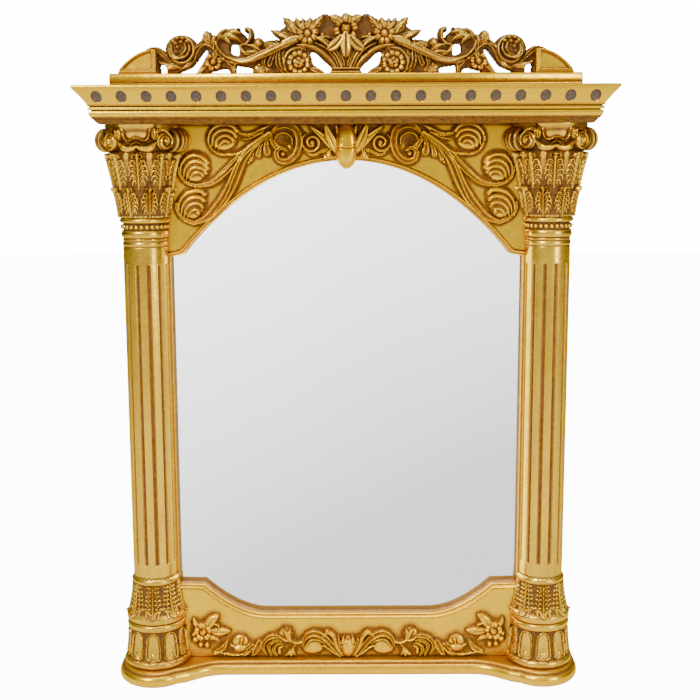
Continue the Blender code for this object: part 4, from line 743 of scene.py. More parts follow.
# Bottom rail: a flower at each end, sprays of leaves and buds, a vase in the middle
def carve_rail():
    low = Relief(-PANEL_HALF, PANEL_HALF, SHELF_TOP + 0.3, 166.0)
    low.lay(
        leaf((-238.5, 78.1), (-217.9, 100.3), 19.0, 7.5, 0.10, "vein"),
        leaf((-230.2, 70.9), (-198.9, 72.7), 17.0, 8.0, -0.06, "vein"),
        leaf((-253.8, 78.1), (-261.0, 95.8), 11.0, 6.0, 0.1, "vein"),
        leaf((-237.2, 60.2), (-217.0, 54.0), 9.0, 7.0, 0.1, "vein"),
        stem([(-228.3, 85.2), (-219.0, 81.6), (-220.9, 72.7), (-229.3, 74.5)], (3.2, 3.6, 3.6, 3.0),
             (8.0, 9.5, 9.5, 9.0)),
        flower((-245.8, 69.9), 17.0, 5, 10.5, 0.35, 0.30, 0, 0.26, 0.5, 1.15, 3),
        boss((-243.7, 71.8), 4.4, 4.8, 13.0),
        boss((-259.3, 56.6), 6.4, 5.6, 8.5),
        boss((-250.2, 47.7), 4.8, 6.0, 9.0),
        boss((-239.1, 46.8), 5.0, 6.4, 9.0),
        boss((-261.6, 66.5), 4.6, 5.0, 8.0),
        # horn and bud
        stem([(-225.8, 34.3), (-212.1, 42.3), (-204.2, 56.6)], (7.5, 9.5, 1.4), (7.5, 9.5, 7.0), "hollow"),
        stem([(-227.5, 35.2), (-208.9, 31.9), (-188.5, 29.4), (-169.8, 34.3)], (3.0, 5.0, 4.4, 3.0),
             (6.0, 8.0, 7.0), "lined"),
        boss((-183.1, 51.3), 14.5, 14.0, 5.5, 3.0),
        boss((-183.3, 42.3), 13.0, 8.0, 10.5),
        stem([(-199.3, 48.6), (-183.3, 41.4), (-166.2, 49.5)], (2.0, 3.2, 2.0), (9.5, 12.0, 9.5)),
        stem([(-182.4, 44.1), (-180.5, 56.6)], (3.6, 4.4), (10.0, 11.0)),
        boss((-179.6, 57.5), 4.4, 4.2, 11.0),
        # comb of curved fingers
        leaf((-162.0, 45.9), (-181.0, 26.6), 9.5, 9.5, 0.04, "hollow"),
        leaf((-150.1, 52.2), (-164.0, 26.9), 12.0, 10.5, 0.04, "hollow"),
        stem([(-108.5, 56.6), (-121.2, 62.9), (-136.4, 59.3), (-145.1, 45.0), (-138.5, 28.9)],
             (3.0, 6.0, 7.5, 6.0, 3.0),
             (8.0, 10.5, 11.5, 10.0, 7.5), "hollow"),
        stem([(-112.8, 53.1), (-123.8, 54.9), (-134.9, 45.9), (-130.0, 28.0)], (2.6, 5.0, 6.0, 3.4),
             (8.0, 11.0, 11.0, 8.0),
             "hollow"),
        stem([(-112.0, 48.6), (-120.5, 47.7), (-126.5, 38.7), (-121.5, 28.0)], (2.4, 4.4, 6.0, 4.0),
             (8.0, 10.5, 10.5, 8.0),
             "hollow"),
        stem([(-111.2, 45.0), (-117.1, 41.4), (-116.4, 33.4)], (3.0, 5.5, 6.5), (8.5, 10.0, 9.5), "vein"),
        # buds on their stalk
        boss((-105.0, 65.9), 13.5, 12.5, 5.0, 3.0),
        leaf((-99.2, 54.9), (-111.7, 77.2), 9.5, 10.5, -0.08, "vein"),
        leaf((-98.4, 54.0), (-97.3, 77.2), 9.5, 11.0, 0.08, "vein"),
        leaf((-96.7, 54.0), (-117.7, 64.7), 8.5, 11.5, 0.12, "keel"),
        stem([(-78.9, 52.2), (-89.1, 51.3), (-99.2, 55.8)], (4.0, 4.6, 4.0), (9.5, 10.5, 10.0)),
        stem([(-87.4, 51.3), (-94.2, 42.3), (-97.7, 37.0)], (3.6, 3.4, 4.0), (9.5, 9.0, 9.0)),
        leaf((-94.2, 41.4), (-107.9, 28.9), 9.5, 9.5, 0.10, "vein"),
        leaf((-94.2, 41.4), (-97.7, 26.2), 10.0, 10.5, 0.0, "vein"),
        leaf((-93.4, 41.4), (-88.4, 27.3), 6.5, 8.5, -0.1, "vein"),
        # large curled leaf
        boss((-60.3, 41.4), 19.0, 12.5, 4.4, 4.0),
        stem([(-78.1, 45.9), (-72.1, 61.1), (-57.6, 68.1), (-40.7, 61.1), (-27.2, 45.9), (-12.0, 26.2)],
             (3.0, 9.0, 11.0, 11.0, 9.5, 3.0), (8.5, 10.5, 11.5, 11.0, 9.0, 7.5), "hollow"),
        stem([(-73.9, 40.5), (-64.5, 54.9), (-50.9, 55.8), (-37.4, 47.7)], (3.0, 5.5, 5.0, 2.0),
             (6.5, 8.0, 8.0, 7.0), "round"),
        stem([(-43.3, 62.0), (-34.8, 70.0), (-24.6, 62.0), (-19.6, 45.9), (-10.3, 28.0)],
             (3.0, 8.5, 8.5, 6.5, 3.0),
             (8.5, 11.5, 11.0, 9.0, 8.0), "vein"),
        stem([(-49.3, 44.1), (-39.1, 44.1), (-27.2, 35.2), (-13.7, 25.5)], (2.0, 5.0, 5.5, 3.0),
             (6.5, 8.0, 8.0, 7.0), "lined"),
        # thin leaves that hold the vase
        stem([(-17.0, 61.1), (-14.3, 47.7), (-7.7, 28.9)], (2.6, 4.4, 3.0), (8.5, 9.5, 8.5), "hollow"),
        stem([(-6.0, 63.8), (-12.3, 49.5), (-7.9, 31.6)], (1.6, 2.6, 2.0), (8.0, 8.5, 8.0)),
    )
    low.mirror()
    vase = (-0.9, 43.2)
    low.lay(boss((0.0, vase[1]), 12.6, 18.6, 13.0, 2.6),
            leaf((0.0, vase[1] - 13), (0.0, vase[1] + 17), 7.0, 14.0, 0.0, "vein"),
            leaf((-6.0, vase[1] + 2), (-8.4, vase[1] + 19.5), 8.0, 13.4, 0.04, "vein"),
            leaf((6.0, vase[1] + 2), (8.4, vase[1] + 19.5), 8.0, 13.4, -0.04, "vein"))
    away = distance(low.X, low.Z, SIGHT)
    low.H = np.where(away < 9.0, -2.2, low.H)
    keep = (away[:-1, :-1] > 3.5) & (away[1:, 1:] > 3.5) & (away[1:, :-1] > 3.5) & (away[:-1, 1:] > 3.5)
    # dark: patina and painted shade in the hollows, painted shade along the foot where the rail meets the
    # shelf, and on the low ground close to the carving
    dark = hollows(np.where(away < 9.0, 0, low.H), low.pitch)
    foot = np.clip(1 - (low.Z - SHELF_TOP) / 9.0, 0, 1) * np.clip((255 - np.abs(low.X)) / 30, 0.25, 1)
    near = np.clip(blurred((low.H > 1.0).astype(float), 5.0 / low.pitch) * 2.2, 0, 1) * (low.H < 3.0)
    dark = np.maximum(dark, np.maximum(0.8 * foot * (low.H < 2.5), 0.75 * near))
    piece(skin("carved_rail", low, keep, GROUND, 25.5, dark, gilt, slot="gilt"), "frame_panel")


carve_rail()


# Stiles, sight bead and the wood behind the carving
def build_stile(side):
    edge = -OPENING_HALF - 3.5
    loop = [(-PANEL_HALF, 165.9), (edge, 165.9), (edge, 700.1), (-PANEL_HALF, 700.1)]
    if side > 0:
        loop = [(-x, z) for x, z in loop]
    obj = outward(prism("stile_" + ("right" if side > 0 else "left"), loop, 25.5, GROUND))
    piece(finish(obj, gilt, slot="gilt"), "frame_panel")


build_stile(-1)
build_stile(1)


def sight_bead():
    """One moulding round the opening: bright inner edge, shallow cove, ridge, and a sunk line outside it."""
    profile = [(0.0, -16.7), (0.0, 1.2), (0.25, 2.0), (0.9, 2.6), (1.7, 2.5), (2.4, 1.9), (3.4, 1.8),
               (4.6, 2.2),
               (5.7, 3.1), (6.5, 4.3), (7.3, 5.3), (8.1, 5.7), (8.9, 5.4), (9.5, 4.3), (9.8, 2.4),
               (9.95, 0.4),
               (10.2, -1.3), (10.7, -1.6), (11.2, -1.1), (11.5, -0.2), (11.8, 0.10), (12.8, 0.12),
               (13.0, -0.8),
               (13.0, -4.4), (6.0, -4.4), (6.0, -16.7)]
    rings = [opening(0.72 * d) if d else SIGHT for d, _ in profile]
    count = len(SIGHT)
    points, hollow = [], []
    # darkening per ring: painted shade on the inner wall, in the cove and in the sunk line outside the ridge,
    # partly patina
    deep = {k: v for k, v in zip(range(len(profile)), (0.6, 0.3, 0, 0, 0, 0.25, 0.4, 0.35, 0.15, 0, 0, 0,
                                                       0, 0, 0.3, 0.9,
                                                       1, 1, 1, 0.6, 0.15, 0, 0, 0, 0, 0))}
    for k, (ring, (_, up)) in enumerate(zip(rings, profile)):
        points += [(x, -(GROUND + up), z) for x, z in ring]
        hollow += [deep[k]] * count
    faces = []
    size = len(profile)
    for k in range(size):
        n = (k + 1) % size
        for i in range(count):
            j = (i + 1) % count
            faces.append([k * count + i, n * count + i, n * count + j, k * count + j])
    obj = mesh_of("sight_bead", points, faces, hollow)
    piece(finish(outward(obj), gilt, slot="gilt", smooth=50), "frame_panel")


sight_bead()


def acorn():
    """The acorn that hangs over the top of the opening: a smooth upper dome, a band and a pointed cup."""
    top, band, tip = (-0.5, 918.5)[1], (-0.6, 878.3)[1], (-0.6, 844.0)[1]
    rings, hollow = [], []
    spans = 44
    levels = np.concatenate([np.linspace(tip, band, 30), np.linspace(band, top, 34)[1:]])
    for z in levels:
        if z < band:
            t = (z - tip) / (band - tip)
            half = 19.6 * (1 - (1 - t) ** 2.2) ** 0.62
            rise = 8.0 + 11.0 * (1 - (1 - t) ** 2) ** 0.6
        else:
            t = (z - band) / (top - band)
            half = 19.4 * (1 - t ** 2.3) ** 0.50 + 0.2
            rise = 6.0 + 13.0 * (1 - t ** 3.0) ** 0.5
        ring = []
        for a in np.linspace(0, math.pi, spans):
            x = half * math.cos(a)
            up = rise * (1 - abs(math.cos(a)) ** 3) ** 0.55
            fold = 0.0
            if z < band:
                fold = 0.5 * math.exp(-(x / 1.2) ** 2) * min(1, (band - z) / 6) * min(1, (z - tip) / 6)
                fold += 0.9 * abs(math.sin(a * 4)) * math.exp(-((z - tip - 7) / 3.5) ** 2)
            wave = 1.4 * math.cos(2 * a)
            groove = 1.7 * math.exp(-((z - band - wave) / 1.1) ** 2)
            groove -= 1.0 * math.exp(-((z - band - wave - 2.6) / 1.5) ** 2)
            ring.append((x, -(GROUND - 3 + up - groove - fold), z))
            # the groove and the folds of the cup are darkened: patina and painted shade
            hollow.append(min(1, 0.55 * max(0, groove) + 0.5 * max(0, fold)))
        rings.append(ring)
    points = [p for ring in rings for p in ring]
    faces = []
    for k in range(len(rings) - 1):
        for i in range(spans - 1):
            faces.append([k * spans + i, k * spans + i + 1, (k + 1) * spans + i + 1, (k + 1) * spans + i])
        faces.append([k * spans + spans - 1, k * spans, (k + 1) * spans, (k + 1) * spans + spans - 1])
    faces.append(list(range(spans)))
    faces.append(list(range(len(points) - spans, len(points)))[::-1])
    obj = mesh_of("acorn", points, faces, hollow)
    # the acorn takes the lighter copy, with less painted shade
    piece(finish(outward(obj), gilt_less_shade, slot="gilt", smooth=60), "frame_panel")


acorn()


def backing():
    """The wood that the carving is laid on, rebated for the glass and recessed for the hanging plates."""
    outer = [(-PANEL_HALF, SHELF_TOP + 0.3), (PANEL_HALF, SHELF_TOP + 0.3), (PANEL_HALF, PANEL_TOP),
             (-PANEL_HALF, PANEL_TOP)]
    body = prism("panel_backing", outer, 0.0, 26.0)
    cutters = [prism("sight", opening(3.0), -1.0, 40.0), prism("rebate", opening(REBATE), -1.0, 13.5)]
    for x in (-215.0, 215.0):
        cutters.append(block("recess", x - 21.3, x + 21.3, -1.0, 2.3, HANG - 9.3, HANG + 9.3))
        cutters.append(block("pocket", x - 12, x + 12, -0.9, 11.0, HANG - 5.25, HANG + 5.25))
    cut_out(outward(body), cutters)
    obj = finish(body, toned_wood, gilt, slot="gilt", smooth=30)
    # leaf covers the outer sides, and the back is toned wood
    for face in obj.data.polygons:
        face.material_index = 1 if abs(face.normal.x) > 0.7 and abs(face.center.x) > 0.35 else 0
    piece(obj, "frame_panel")


backing()


# Columns: radius over angle and height, with carving laid on it
DEGREE = 0.95


def step_profile(z, marks):
    levels = [m[0] for m in marks]
    return np.interp(z, levels, [m[1] for m in marks])


def bulge(z, low, high, rise):
    """A torus between two levels."""
    t = np.clip((z - low) / (high - low) * 2 - 1, -1, 1)
    return rise * np.sqrt(1 - t * t)


def column_body(z):
    """Radius of the turned body."""
    r = step_profile(z, [(24.7, 51.0), (37.5, 51.0), (38.5, 48.3), (60, 45.6), (85.5, 44.0), (86.6, 46.0),
                         (98.4, 46.5), (98.9, 45.4), (99.9, 45.4), (100.4, 46.5), (113.5, 46.6),
                         (114.6, 43.6),
                         (118, 42.2), (130, 39.4), (142, 37.6), (155, 36.6), (163.6, 36.2), (164.2, 36.0),
                         (174.8, 35.7), (748.6, 35.7), (749.4, 34.6), (760.2, 34.6), (760.8, 36.2),
                         (768.4, 36.4),
                         (769.4, 38.6), (771.0, 39.0)])
    r += bulge(z, 24.9, 37.0, 4.0) + bulge(z, 87.0, 98.2, 2.6) + bulge(z, 100.6, 113.2, 2.6)
    r += bulge(z, 164.6, 174.6, 3.4) + bulge(z, 760.6, 768.6, 3.8) + bulge(z, 737.6, 748.8, 2.4) * 0.9
    for line in (736.6, 731.9, 723.4):
        r -= 1.0 * np.exp(-((z - line) / 0.75) ** 2)
    r += 0.7 * np.exp(-((z - 727.5) / 2.2) ** 2)
    bell = 39.4 + 19.0 * np.clip((z - 771.0) / 130.7, 0, 1) ** 1.35
    return np.where(z > 771.0, bell, r)


def acanthus(low, high, at, width, rise, curl):
    """A carved leaf standing on the bell: bright rib, arching leaflets on a sunk blade, curls at its tip."""
    x, tall = at * DEGREE, high - low
    shapes = [leaf((x, low - 8), (x, high + 3), width * 0.90, rise * 0.42, 0.0, "flat", curl=1.5)]
    for k in range(5):
        t = k / 5
        z0 = low + 1.0 + tall * 0.80 * t
        reach = width / 2 * (0.72, 0.92, 1.0, 0.94, 0.74)[k]
        lift = rise * (0.86 + 0.42 * t)
        for side in (-1, 1):
            shapes.append(stem([(x + side * 1.6, z0), (x + side * reach * 0.42, z0 + tall * 0.145),
                                (x + side * reach * 0.84, z0 + tall * 0.150),
                                (x + side * reach, z0 + tall * 0.03)],
                               (1.8, 3.0, 3.6, 3.0), (lift * 0.80, lift, lift, lift * 0.85), "round"))
            shapes.append(stem([(x + side * reach * 0.34, z0 + tall * 0.03),
                                (x + side * reach * 0.62, z0 + tall * 0.085)],
                               (1.6, 2.6), (lift * 0.66, lift * 0.74), "round"))
    for side in (-1, 1):
        shapes.append(stem([(x + side * 1.6, high - tall * 0.13), (x + side * 2.6, high - 1.0),
                            (x + side * 6.0, high + 0.6), (x + side * 7.4, high - 3.6),
                            (x + side * 5.2, high - 4.8)],
                           (2.2, 2.6, 2.8, 2.6, 2.4), (rise * 1.3, rise * curl * 0.9, rise * curl,
                                                       rise * curl, rise * 1.5)))
    shapes.append(stem([(x, low - 3), (x, low + tall * 0.55), (x, high - 1)], (4.2, 3.8, 3.2),
                       (rise * 1.25, rise * 1.60, rise * curl), "round"))
    shapes.append(boss((x, high + 0.4), 2.7, 2.5, rise * curl * 1.04))
    return shapes


def carve_capital():
    cap = Relief(-97 * DEGREE, 97 * DEGREE, 769.6, PANEL_TOP, 0.88)
    for at in (-60, -20, 20, 60):
        x = at * DEGREE
        cap.lay(leaf((x, 828), (x, 880), 15.0, 2.6, 0, "flat"), boss((x, 866.5), 6.0, 7.0, 4.4, 2.6),
                blend=0.5)
    for at in (-80, -40, 0, 40, 80):
        cap.lay(*acanthus(818.0, 867.5, at, 33.0, 4.6, 2.0), blend=0.3)
    for at in (-100, -60, -20, 20, 60, 100):
        cap.lay(*acanthus(774.0, 815.0, at, 32.0, 4.8, 2.15), blend=0.3)
    # the bell draws in above the leaves, behind the volutes
    cap.H -= 5.5 * np.clip((cap.Z - 870.5) / 3.5, 0, 1)
    # garland, shield and curls between the volutes
    cap.lay(
        stem([(-31.0, 887.5), (-21.0, 878.0), (-8.0, 876.4), (0, 880.4), (8.0, 876.4), (21.0, 878.0),
              (31.0, 887.5)],
             (2.0, 12.0, 9.5, 6.5, 9.5, 12.0, 2.0), (1.5, 7.0, 8.0, 7.5, 8.0, 7.0, 1.5), "round"),
        stem([(-11.0, 877.6), (-4.8, 884.2), (0, 886.4), (4.8, 884.2), (11.0, 877.6)],
             (1.4, 2.4, 2.6, 2.4, 1.4),
             (7.5, 9.8, 10.2, 9.8, 7.5)),
        stem([(-8.6, 875.2), (-4.0, 879.8), (0, 881.4), (4.0, 879.8), (8.6, 875.2)],
             (1.2, 2.0, 2.2, 2.0, 1.2),
             (7.5, 9.6, 9.8, 9.6, 7.5)),
        boss((0, 899.5), 17.0, 12.0, 3.6, 4.0),
        stem([(-19.0, 908.0), (-17.4, 896.0), (-14.4, 890.2), (-8.5, 889.4), (-3.4, 892.4), (0, 893.2),
              (3.4, 892.4),
              (8.5, 889.4), (14.4, 890.2), (17.4, 896.0), (19.0, 908.0)], (2.6,) * 11,
             (7.0, 7.6, 8.4, 8.8, 8.2, 7.8,
                                                                                   8.2, 8.8, 8.4, 7.6,
              7.0)),
        blend=0.4)
    for side in (-1, 1):
        cap.lay(
            stem([(side * 22.4, 905.5), (side * 22.4, 896.5), (side * 25.6, 891.5), (side * 29.4, 895.5),
                  (side * 29.6, 904.0)], (2.2, 2.6, 2.8, 2.6, 2.2), (6.6, 7.6, 8.0, 7.6, 6.6)),
            leaf((side * 25.6, 907), (side * 25.8, 891.0), 8.0, 6.8, 0, "keel"),
            boss((side * 80.0, 889.5), 26.0, 17.5, 13.0, 4.0),
            blend=0.4)
    # abacus: only its saddle stands clear of the shadow under the cornice
    s = cap.X / DEGREE
    half = 21.0 + 8.0 * np.clip((cap.Z - 902.5) / 9.0, 0, 1)
    lip = np.clip((cap.Z - 902.5) / 10.0, 0, 1) ** 1.5
    saddle = (3.2 + 7.2 * lip) * np.sqrt(np.clip(1 - (np.abs(s) / half) ** 6, 0, 1))
    cap.H = np.maximum(cap.H, np.where(cap.Z > 902.5, saddle, -50))
    radius = column_body(cap.Z) + cap.H
    # dark: patina and painted shade in the hollows, painted shade on the ground between the leaves, and
    # painted shadow on the drawn-in bell behind the volutes
    dark = hollows(cap.H, cap.pitch, 1.4, 4.0)
    leafy = (cap.Z < 872) & (cap.Z > 772.5)
    dark = np.maximum(dark, np.where(leafy, np.clip((2.9 - cap.H) / 1.3, 0, 0.95), 0))
    dark = np.maximum(dark, 0.95 * np.clip((cap.Z - 869) / 3, 0, 1) * np.clip((1.0 - cap.H) / 3, 0, 1))
    return cap, radius, dark


def carve_base():
    base = Relief(-97 * DEGREE, 97 * DEGREE, SHELF_TOP + 0.3, 182.0, 0.95)
    for at in (-90, -45, 0, 45, 90):
        x = at * DEGREE
        base.lay(stem([(x, 112), (x, 140), (x, 164)], (4.4, 3.4, 2.6), (4.6, 4.2, 3.2)))
        for k in range(7):
            z = 114.5 + 7.1 * k
            wide = 17.8 - 1.0 * k
            for side in (-1, 1):
                if k == 0:
                    base.lay(stem([(x + side * 3.6, z - 1.5), (x + side * 6.0, z + 5.2),
                                   (x + side * 9.6, z + 6.6)],
                                  (3.4, 5.8, 3.2), (2.6, 3.0, 2.6), "hollow"))
                    base.lay(stem([(x + side * 11.5, z - 2.0), (x + side * 12.6, z + 5.0),
                                   (x + side * 16.0, z + 7.6)],
                                  (3.4, 5.6, 3.0), (2.6, 3.0, 2.6), "hollow"))
                else:
                    base.lay(stem([(x + side * 1.6, z), (x + side * wide * 0.36, z + 4.6),
                                   (x + side * wide * 0.60, z + 3.6), (x + side * wide * 0.62, z + 0.6)],
                                  (1.4, 2.6, 2.8, 1.6), (2.6, 3.6, 3.4, 2.4)))
                    base.lay(stem([(x + side * wide * 0.66, z - 1.0), (x + side * wide * 0.86, z + 3.8),
                                   (x + side * wide * 1.16, z + 4.4), (x + side * wide * 1.22, z + 1.6)],
                                  (1.2, 2.4, 2.6, 1.6), (2.4, 3.4, 3.2, 2.2)))
    for at in (-72, -36, 0, 36, 72, -108, 108):
        x = at * DEGREE
        base.lay(stem([(x, 46), (x, 62), (x, 78)], (24.0, 25.0, 20.0), (2.4, 1.2, 1.2), "flat"))
        outline = [(x, 85.2), (x - 6.6, 83.0), (x - 11.2, 76.0), (x - 12.8, 62.0), (x - 13.0, 47.0),
                   (x - 11.0, 41.6),
                   (x - 6.6, 40.6), (x - 2.8, 43.6), (x, 44.8), (x + 2.8, 43.6), (x + 6.6, 40.6),
                   (x + 11.0, 41.6),
                   (x + 13.0, 47.0), (x + 12.8, 62.0), (x + 11.2, 76.0), (x + 6.6, 83.0), (x, 85.2)]
        base.lay(stem(outline, (2.7,) * 17, (4.4,) * 17))
        base.lay(boss((x, 47.5), 5.0, 4.5, 3.6))
    radius = column_body(base.Z) + base.H
    # dark: patina and painted shade in the hollows, a dark seam where shaft and base meet, and painted shade
    # on the ground between the leaves and in the creases between the mouldings
    dark = hollows(base.H, base.pitch, 1.3, 3.6)
    seam_line = 176.4 + 0.8 * np.sin(base.X * 0.55) + 0.5 * np.sin(base.X * 1.3 + 1)
    seam = np.exp(-((base.Z - seam_line) / 1.1) ** 2)
    ground = (base.H < 1.0) & (base.Z > 114.5) & (base.Z < 164)
    dark = np.maximum(dark, np.maximum(0.9 * seam, 0.8 * ground))
    ground = (base.H < 0.8) & (base.Z > 38) & (base.Z < 86.5)
    dark = np.maximum(dark, np.maximum(0.75 * ground, 0.9 * np.exp(-((base.Z - 99.4) / 0.8) ** 2)))
    dark = np.maximum(dark, 0.6 * np.exp(-((base.Z - 86.3) / 0.9) ** 2))
    dark = np.maximum(dark, 0.7 * np.exp(-((base.Z - 38.2) / 0.9) ** 2))
    return base, radius, dark


def carve_shaft():
    """Plain shaft with its flutes, and above it the collar, the ring of beads and the torus."""
    rows = np.unique(np.concatenate([np.linspace(182.0, 196, 6), np.linspace(196, 204, 12),
                                     np.linspace(204, 690, 34),
                                     np.linspace(690, 698.5, 12), np.linspace(698.5, 718, 8),
                                     np.linspace(718, 769.6, 70)]))
    shaft = Relief(-97 * DEGREE, 97 * DEGREE, 0, 1, 0.66)
    shaft.z = rows
    shaft.X, shaft.Z = np.meshgrid(shaft.x, rows)
    shaft.H = np.zeros_like(shaft.X)
    s = shaft.X / DEGREE
    # dark paints the flutes, the gaps between the beads and the fine grooves: painted shade, partly patina
    dark = np.zeros_like(s)
    for at in (-75, -45, -15, 15, 45, 75):
        off = np.radians(s - at) * SHAFT
        over = np.maximum(0, np.maximum(201.4 - shaft.Z, shaft.Z - 692.6))
        away = np.hypot(off, over) / 3.4
        shaft.H -= 2.9 * np.sqrt(np.clip(1 - away ** 2.2, 0, 1))
        dark = np.maximum(dark, 0.70 * np.clip(1.10 - away, 0, 1) ** 0.7)
        shaft.H += 0.25 * np.exp(-((away - 1.22) / 0.12) ** 2)
    radius = column_body(shaft.Z)
    pitch = 13.6
    bead = (s / pitch - np.round(s / pitch)) * pitch
    away = np.hypot(np.radians(bead) * 37.0, shaft.Z - 754.8) / 4.1
    shaft.H = np.maximum(shaft.H, np.where(away < 1, 4.6 * np.sqrt(np.clip(1 - away ** 2, 0, 1)), -9))
    ring = (shaft.Z > 748.9) & (shaft.Z < 760.6)
    dark = np.maximum(dark, np.where(ring, 0.95 * np.clip((away - 0.72) * 3, 0, 1), 0))
    for line, wide in ((736.6, 0.9), (731.9, 0.8), (723.4, 0.7), (749.2, 0.8), (760.6, 0.9), (769.2, 1.0)):
        dark = np.maximum(dark, 0.9 * np.exp(-((shaft.Z - line) / wide) ** 2))
    return shaft, radius + shaft.H, dark


def wrap(name, relief, radius, dark, column, *materials):
    """Bends a relief round the column's axis and closes it behind and at its ends."""
    rows, columns = radius.shape
    angle = np.radians(relief.X / DEGREE)
    chord = -GROUND - 0.3 - COLUMN_Y
    x = radius * np.sin(angle)
    y = np.minimum(-radius * np.cos(angle), chord)
    points = np.stack([x.ravel() + column, y.ravel() + COLUMN_Y, relief.Z.ravel()], 1)
    faces = grid_faces(rows, columns).tolist()
    for k in range(rows - 1):
        a, b = k * columns, (k + 1) * columns
        faces.append([a + columns - 1, a, b, b + columns - 1])
    faces.append(list(range(columns))[::-1])
    faces.append(list(range((rows - 1) * columns, rows * columns)))
    obj = mesh_of(name, points, faces, dark.ravel())
    outward(obj)
    return finish(obj, *materials, slot="gilt", smooth=75)


def volute(spin):
    """A scroll seen face on: an arm that winds in to a ball, on a disc, with the arm's foot at the abacus."""
    disc = Relief(-17, 17, -16, 21, 0.62)
    if spin > 0:
        line = np.vstack([curve([(-15.0, 17.5), (-9.0, 19.0), (-1.0, 17.0)], 5),
                          arc((0, 0), 12.6, 62, -260, 40, 7.2),
                          arc((0, 0), 7.0, 96, -60, 16, 4.6)])
        disc.lay(boss((0, 0), 13.8, 13.8, 3.0, 6.0),
                 ribbon(line, (1.4, 2.4, 2.3, 2.2, 2.1, 1.9, 1.6), (6.5, 8.0, 8.0, 7.8, 7.6, 7.4, 7.2)),
                 boss((0.6, 0.6), 4.6, 4.6, 9.5), stem([(-14, 14), (-6, 16.5), (4, 13.5)], (2.2, 3.0, 2.0),
                                                       (5, 6.2, 5)))
    else:
        disc.lay(boss((0, 0), 14.0, 14.4, 3.4, 6.0),
                 ribbon(arc((0, 0), 12.2, 90, 450, 44), (2.2, 2.2), (7.4, 7.4)),
                 boss((0, 0), 10.8, 11.0, 6.4, 4.0), boss((-0.4, 1.0), 6.6, 6.6, 11.4),
                 stem([(14.5, 17.5), (6.0, 18.5), (-4.0, 15.5), (-12.0, 8.0)], (2.0, 4.4, 4.4, 2.4),
                      (6, 8.2, 8.2, 6),
                      "hollow"))
    inner = disc.H > 0.6
    keep = inner[:-1, :-1] & inner[1:, 1:] & inner[1:, :-1] & inner[:-1, 1:]
    dark = hollows(disc.H, disc.pitch, 1.2, 3.4)
    rows, columns = disc.H.shape
    faces = grid_faces(rows, columns, keep).tolist()
    used = np.unique([v for f in faces for v in f])
    number = np.full(rows * columns, -1)
    number[used] = np.arange(len(used))
    flat = np.stack([disc.X.ravel(), -disc.H.ravel(), disc.Z.ravel()], 1)[used]
    dark = dark.ravel()[used]
    faces = [[int(number[v]) for v in f] for f in faces]
    edges = rim_of(faces)
    rim = sorted({v for e in edges for v in e})
    below = {v: len(flat) + k for k, v in enumerate(rim)}
    back = flat[rim].copy()
    back[:, 0] *= 0.80
    back[:, 2] *= 0.80
    back[:, 1] = 9.0
    points = np.vstack([flat, back])
    # the walls down to the back are painted fully dark, as shade
    dark = np.concatenate([dark, np.ones(len(rim))])
    faces += [[b, a, below[a], below[b]] for a, b in edges]
    return points, faces, dark


def ear(name, column, turn):
    """The bundle of strands that a pair of volutes is bound with, seen from its end."""
    points, faces, hollow = [], [], []
    for k, at in enumerate((58, 68, 78, 88, 98)):
        a = math.radians(at * turn)
        tube = 3.3
        for j in range(15):
            b = math.radians(104 - 208 * j / 14)
            out = 58.0 + 13.5 * math.cos(b) + (0.8 if k % 2 else 0)
            z = 890.0 + 15.6 * math.sin(b)
            size = tube * (0.25 if j in (0, 14) else 1.0)
            for i in range(10):
                c = 2 * math.pi * i / 10
                r = out + size * math.cos(c) * math.cos(b)
                across = size * math.sin(c)
                points.append((column + r * math.sin(a) + across * math.cos(a),
                               COLUMN_Y - r * math.cos(a) + across * math.sin(a),
                               z + size * math.cos(c) * math.sin(b)))
                # the sides of each strand, where it meets its neighbours, are painted dark as shade
                hollow.append(0.9 * abs(math.sin(c)) ** 2 if math.cos(c) < 0.75 else 0.0)
        start = 150 * k
        for j in range(14):
            for i in range(10):
                n = (i + 1) % 10
                faces.append([start + 10 * j + i, start + 10 * j + n, start + 10 * j + 10 + n,
                              start + 10 * j + 10 + i])
        faces.append([start + i for i in range(10)][::-1])
        faces.append([start + 140 + i for i in range(10)])
    return finish(outward(mesh_of(name, points, faces, hollow)), gilt_column, slot="gilt", smooth=80)


def build_columns():
    parts = (("capital", carve_capital()), ("base", carve_base()), ("shaft", carve_shaft()))
    for side, column in (("left", -COLUMN_X), ("right", COLUMN_X)):
        for label, (relief, radius, dark) in parts:
            piece(wrap(label + "_" + side, relief, radius, dark, column, gilt_column), "column_" + side)
        for turn in (-1, 1):
            piece(ear("ear_%s_%s" % (side, "inner" if turn * column < 0 else "outer"), column, turn),
                  "column_" + side)
        inner = 1 if side == "left" else -1
        for name, turn, spin in (("inner", 45 * inner, 1), ("outer", -45 * inner, -1)):
            points, faces, dark = volute(spin)
            if inner < 0:
                points = points * (-1, 1, 1)
                faces = [f[::-1] for f in faces]
            a = math.radians(turn)
            reach = 56.0
            x = points[:, 0] * math.cos(a) - (points[:, 1] - 0) * math.sin(a)
            y = points[:, 0] * math.sin(a) + points[:, 1] * math.cos(a)
            placed = np.stack([x + math.sin(a) * reach + column, y - math.cos(a) * reach + COLUMN_Y,
                               points[:, 2] + 888.0], 1)
            obj = finish(outward(mesh_of("volute_%s_%s" % (side, name), placed, faces, dark)), gilt_column,
                         slot="gilt", smooth=80)
            piece(obj, "column_" + side)


build_columns()


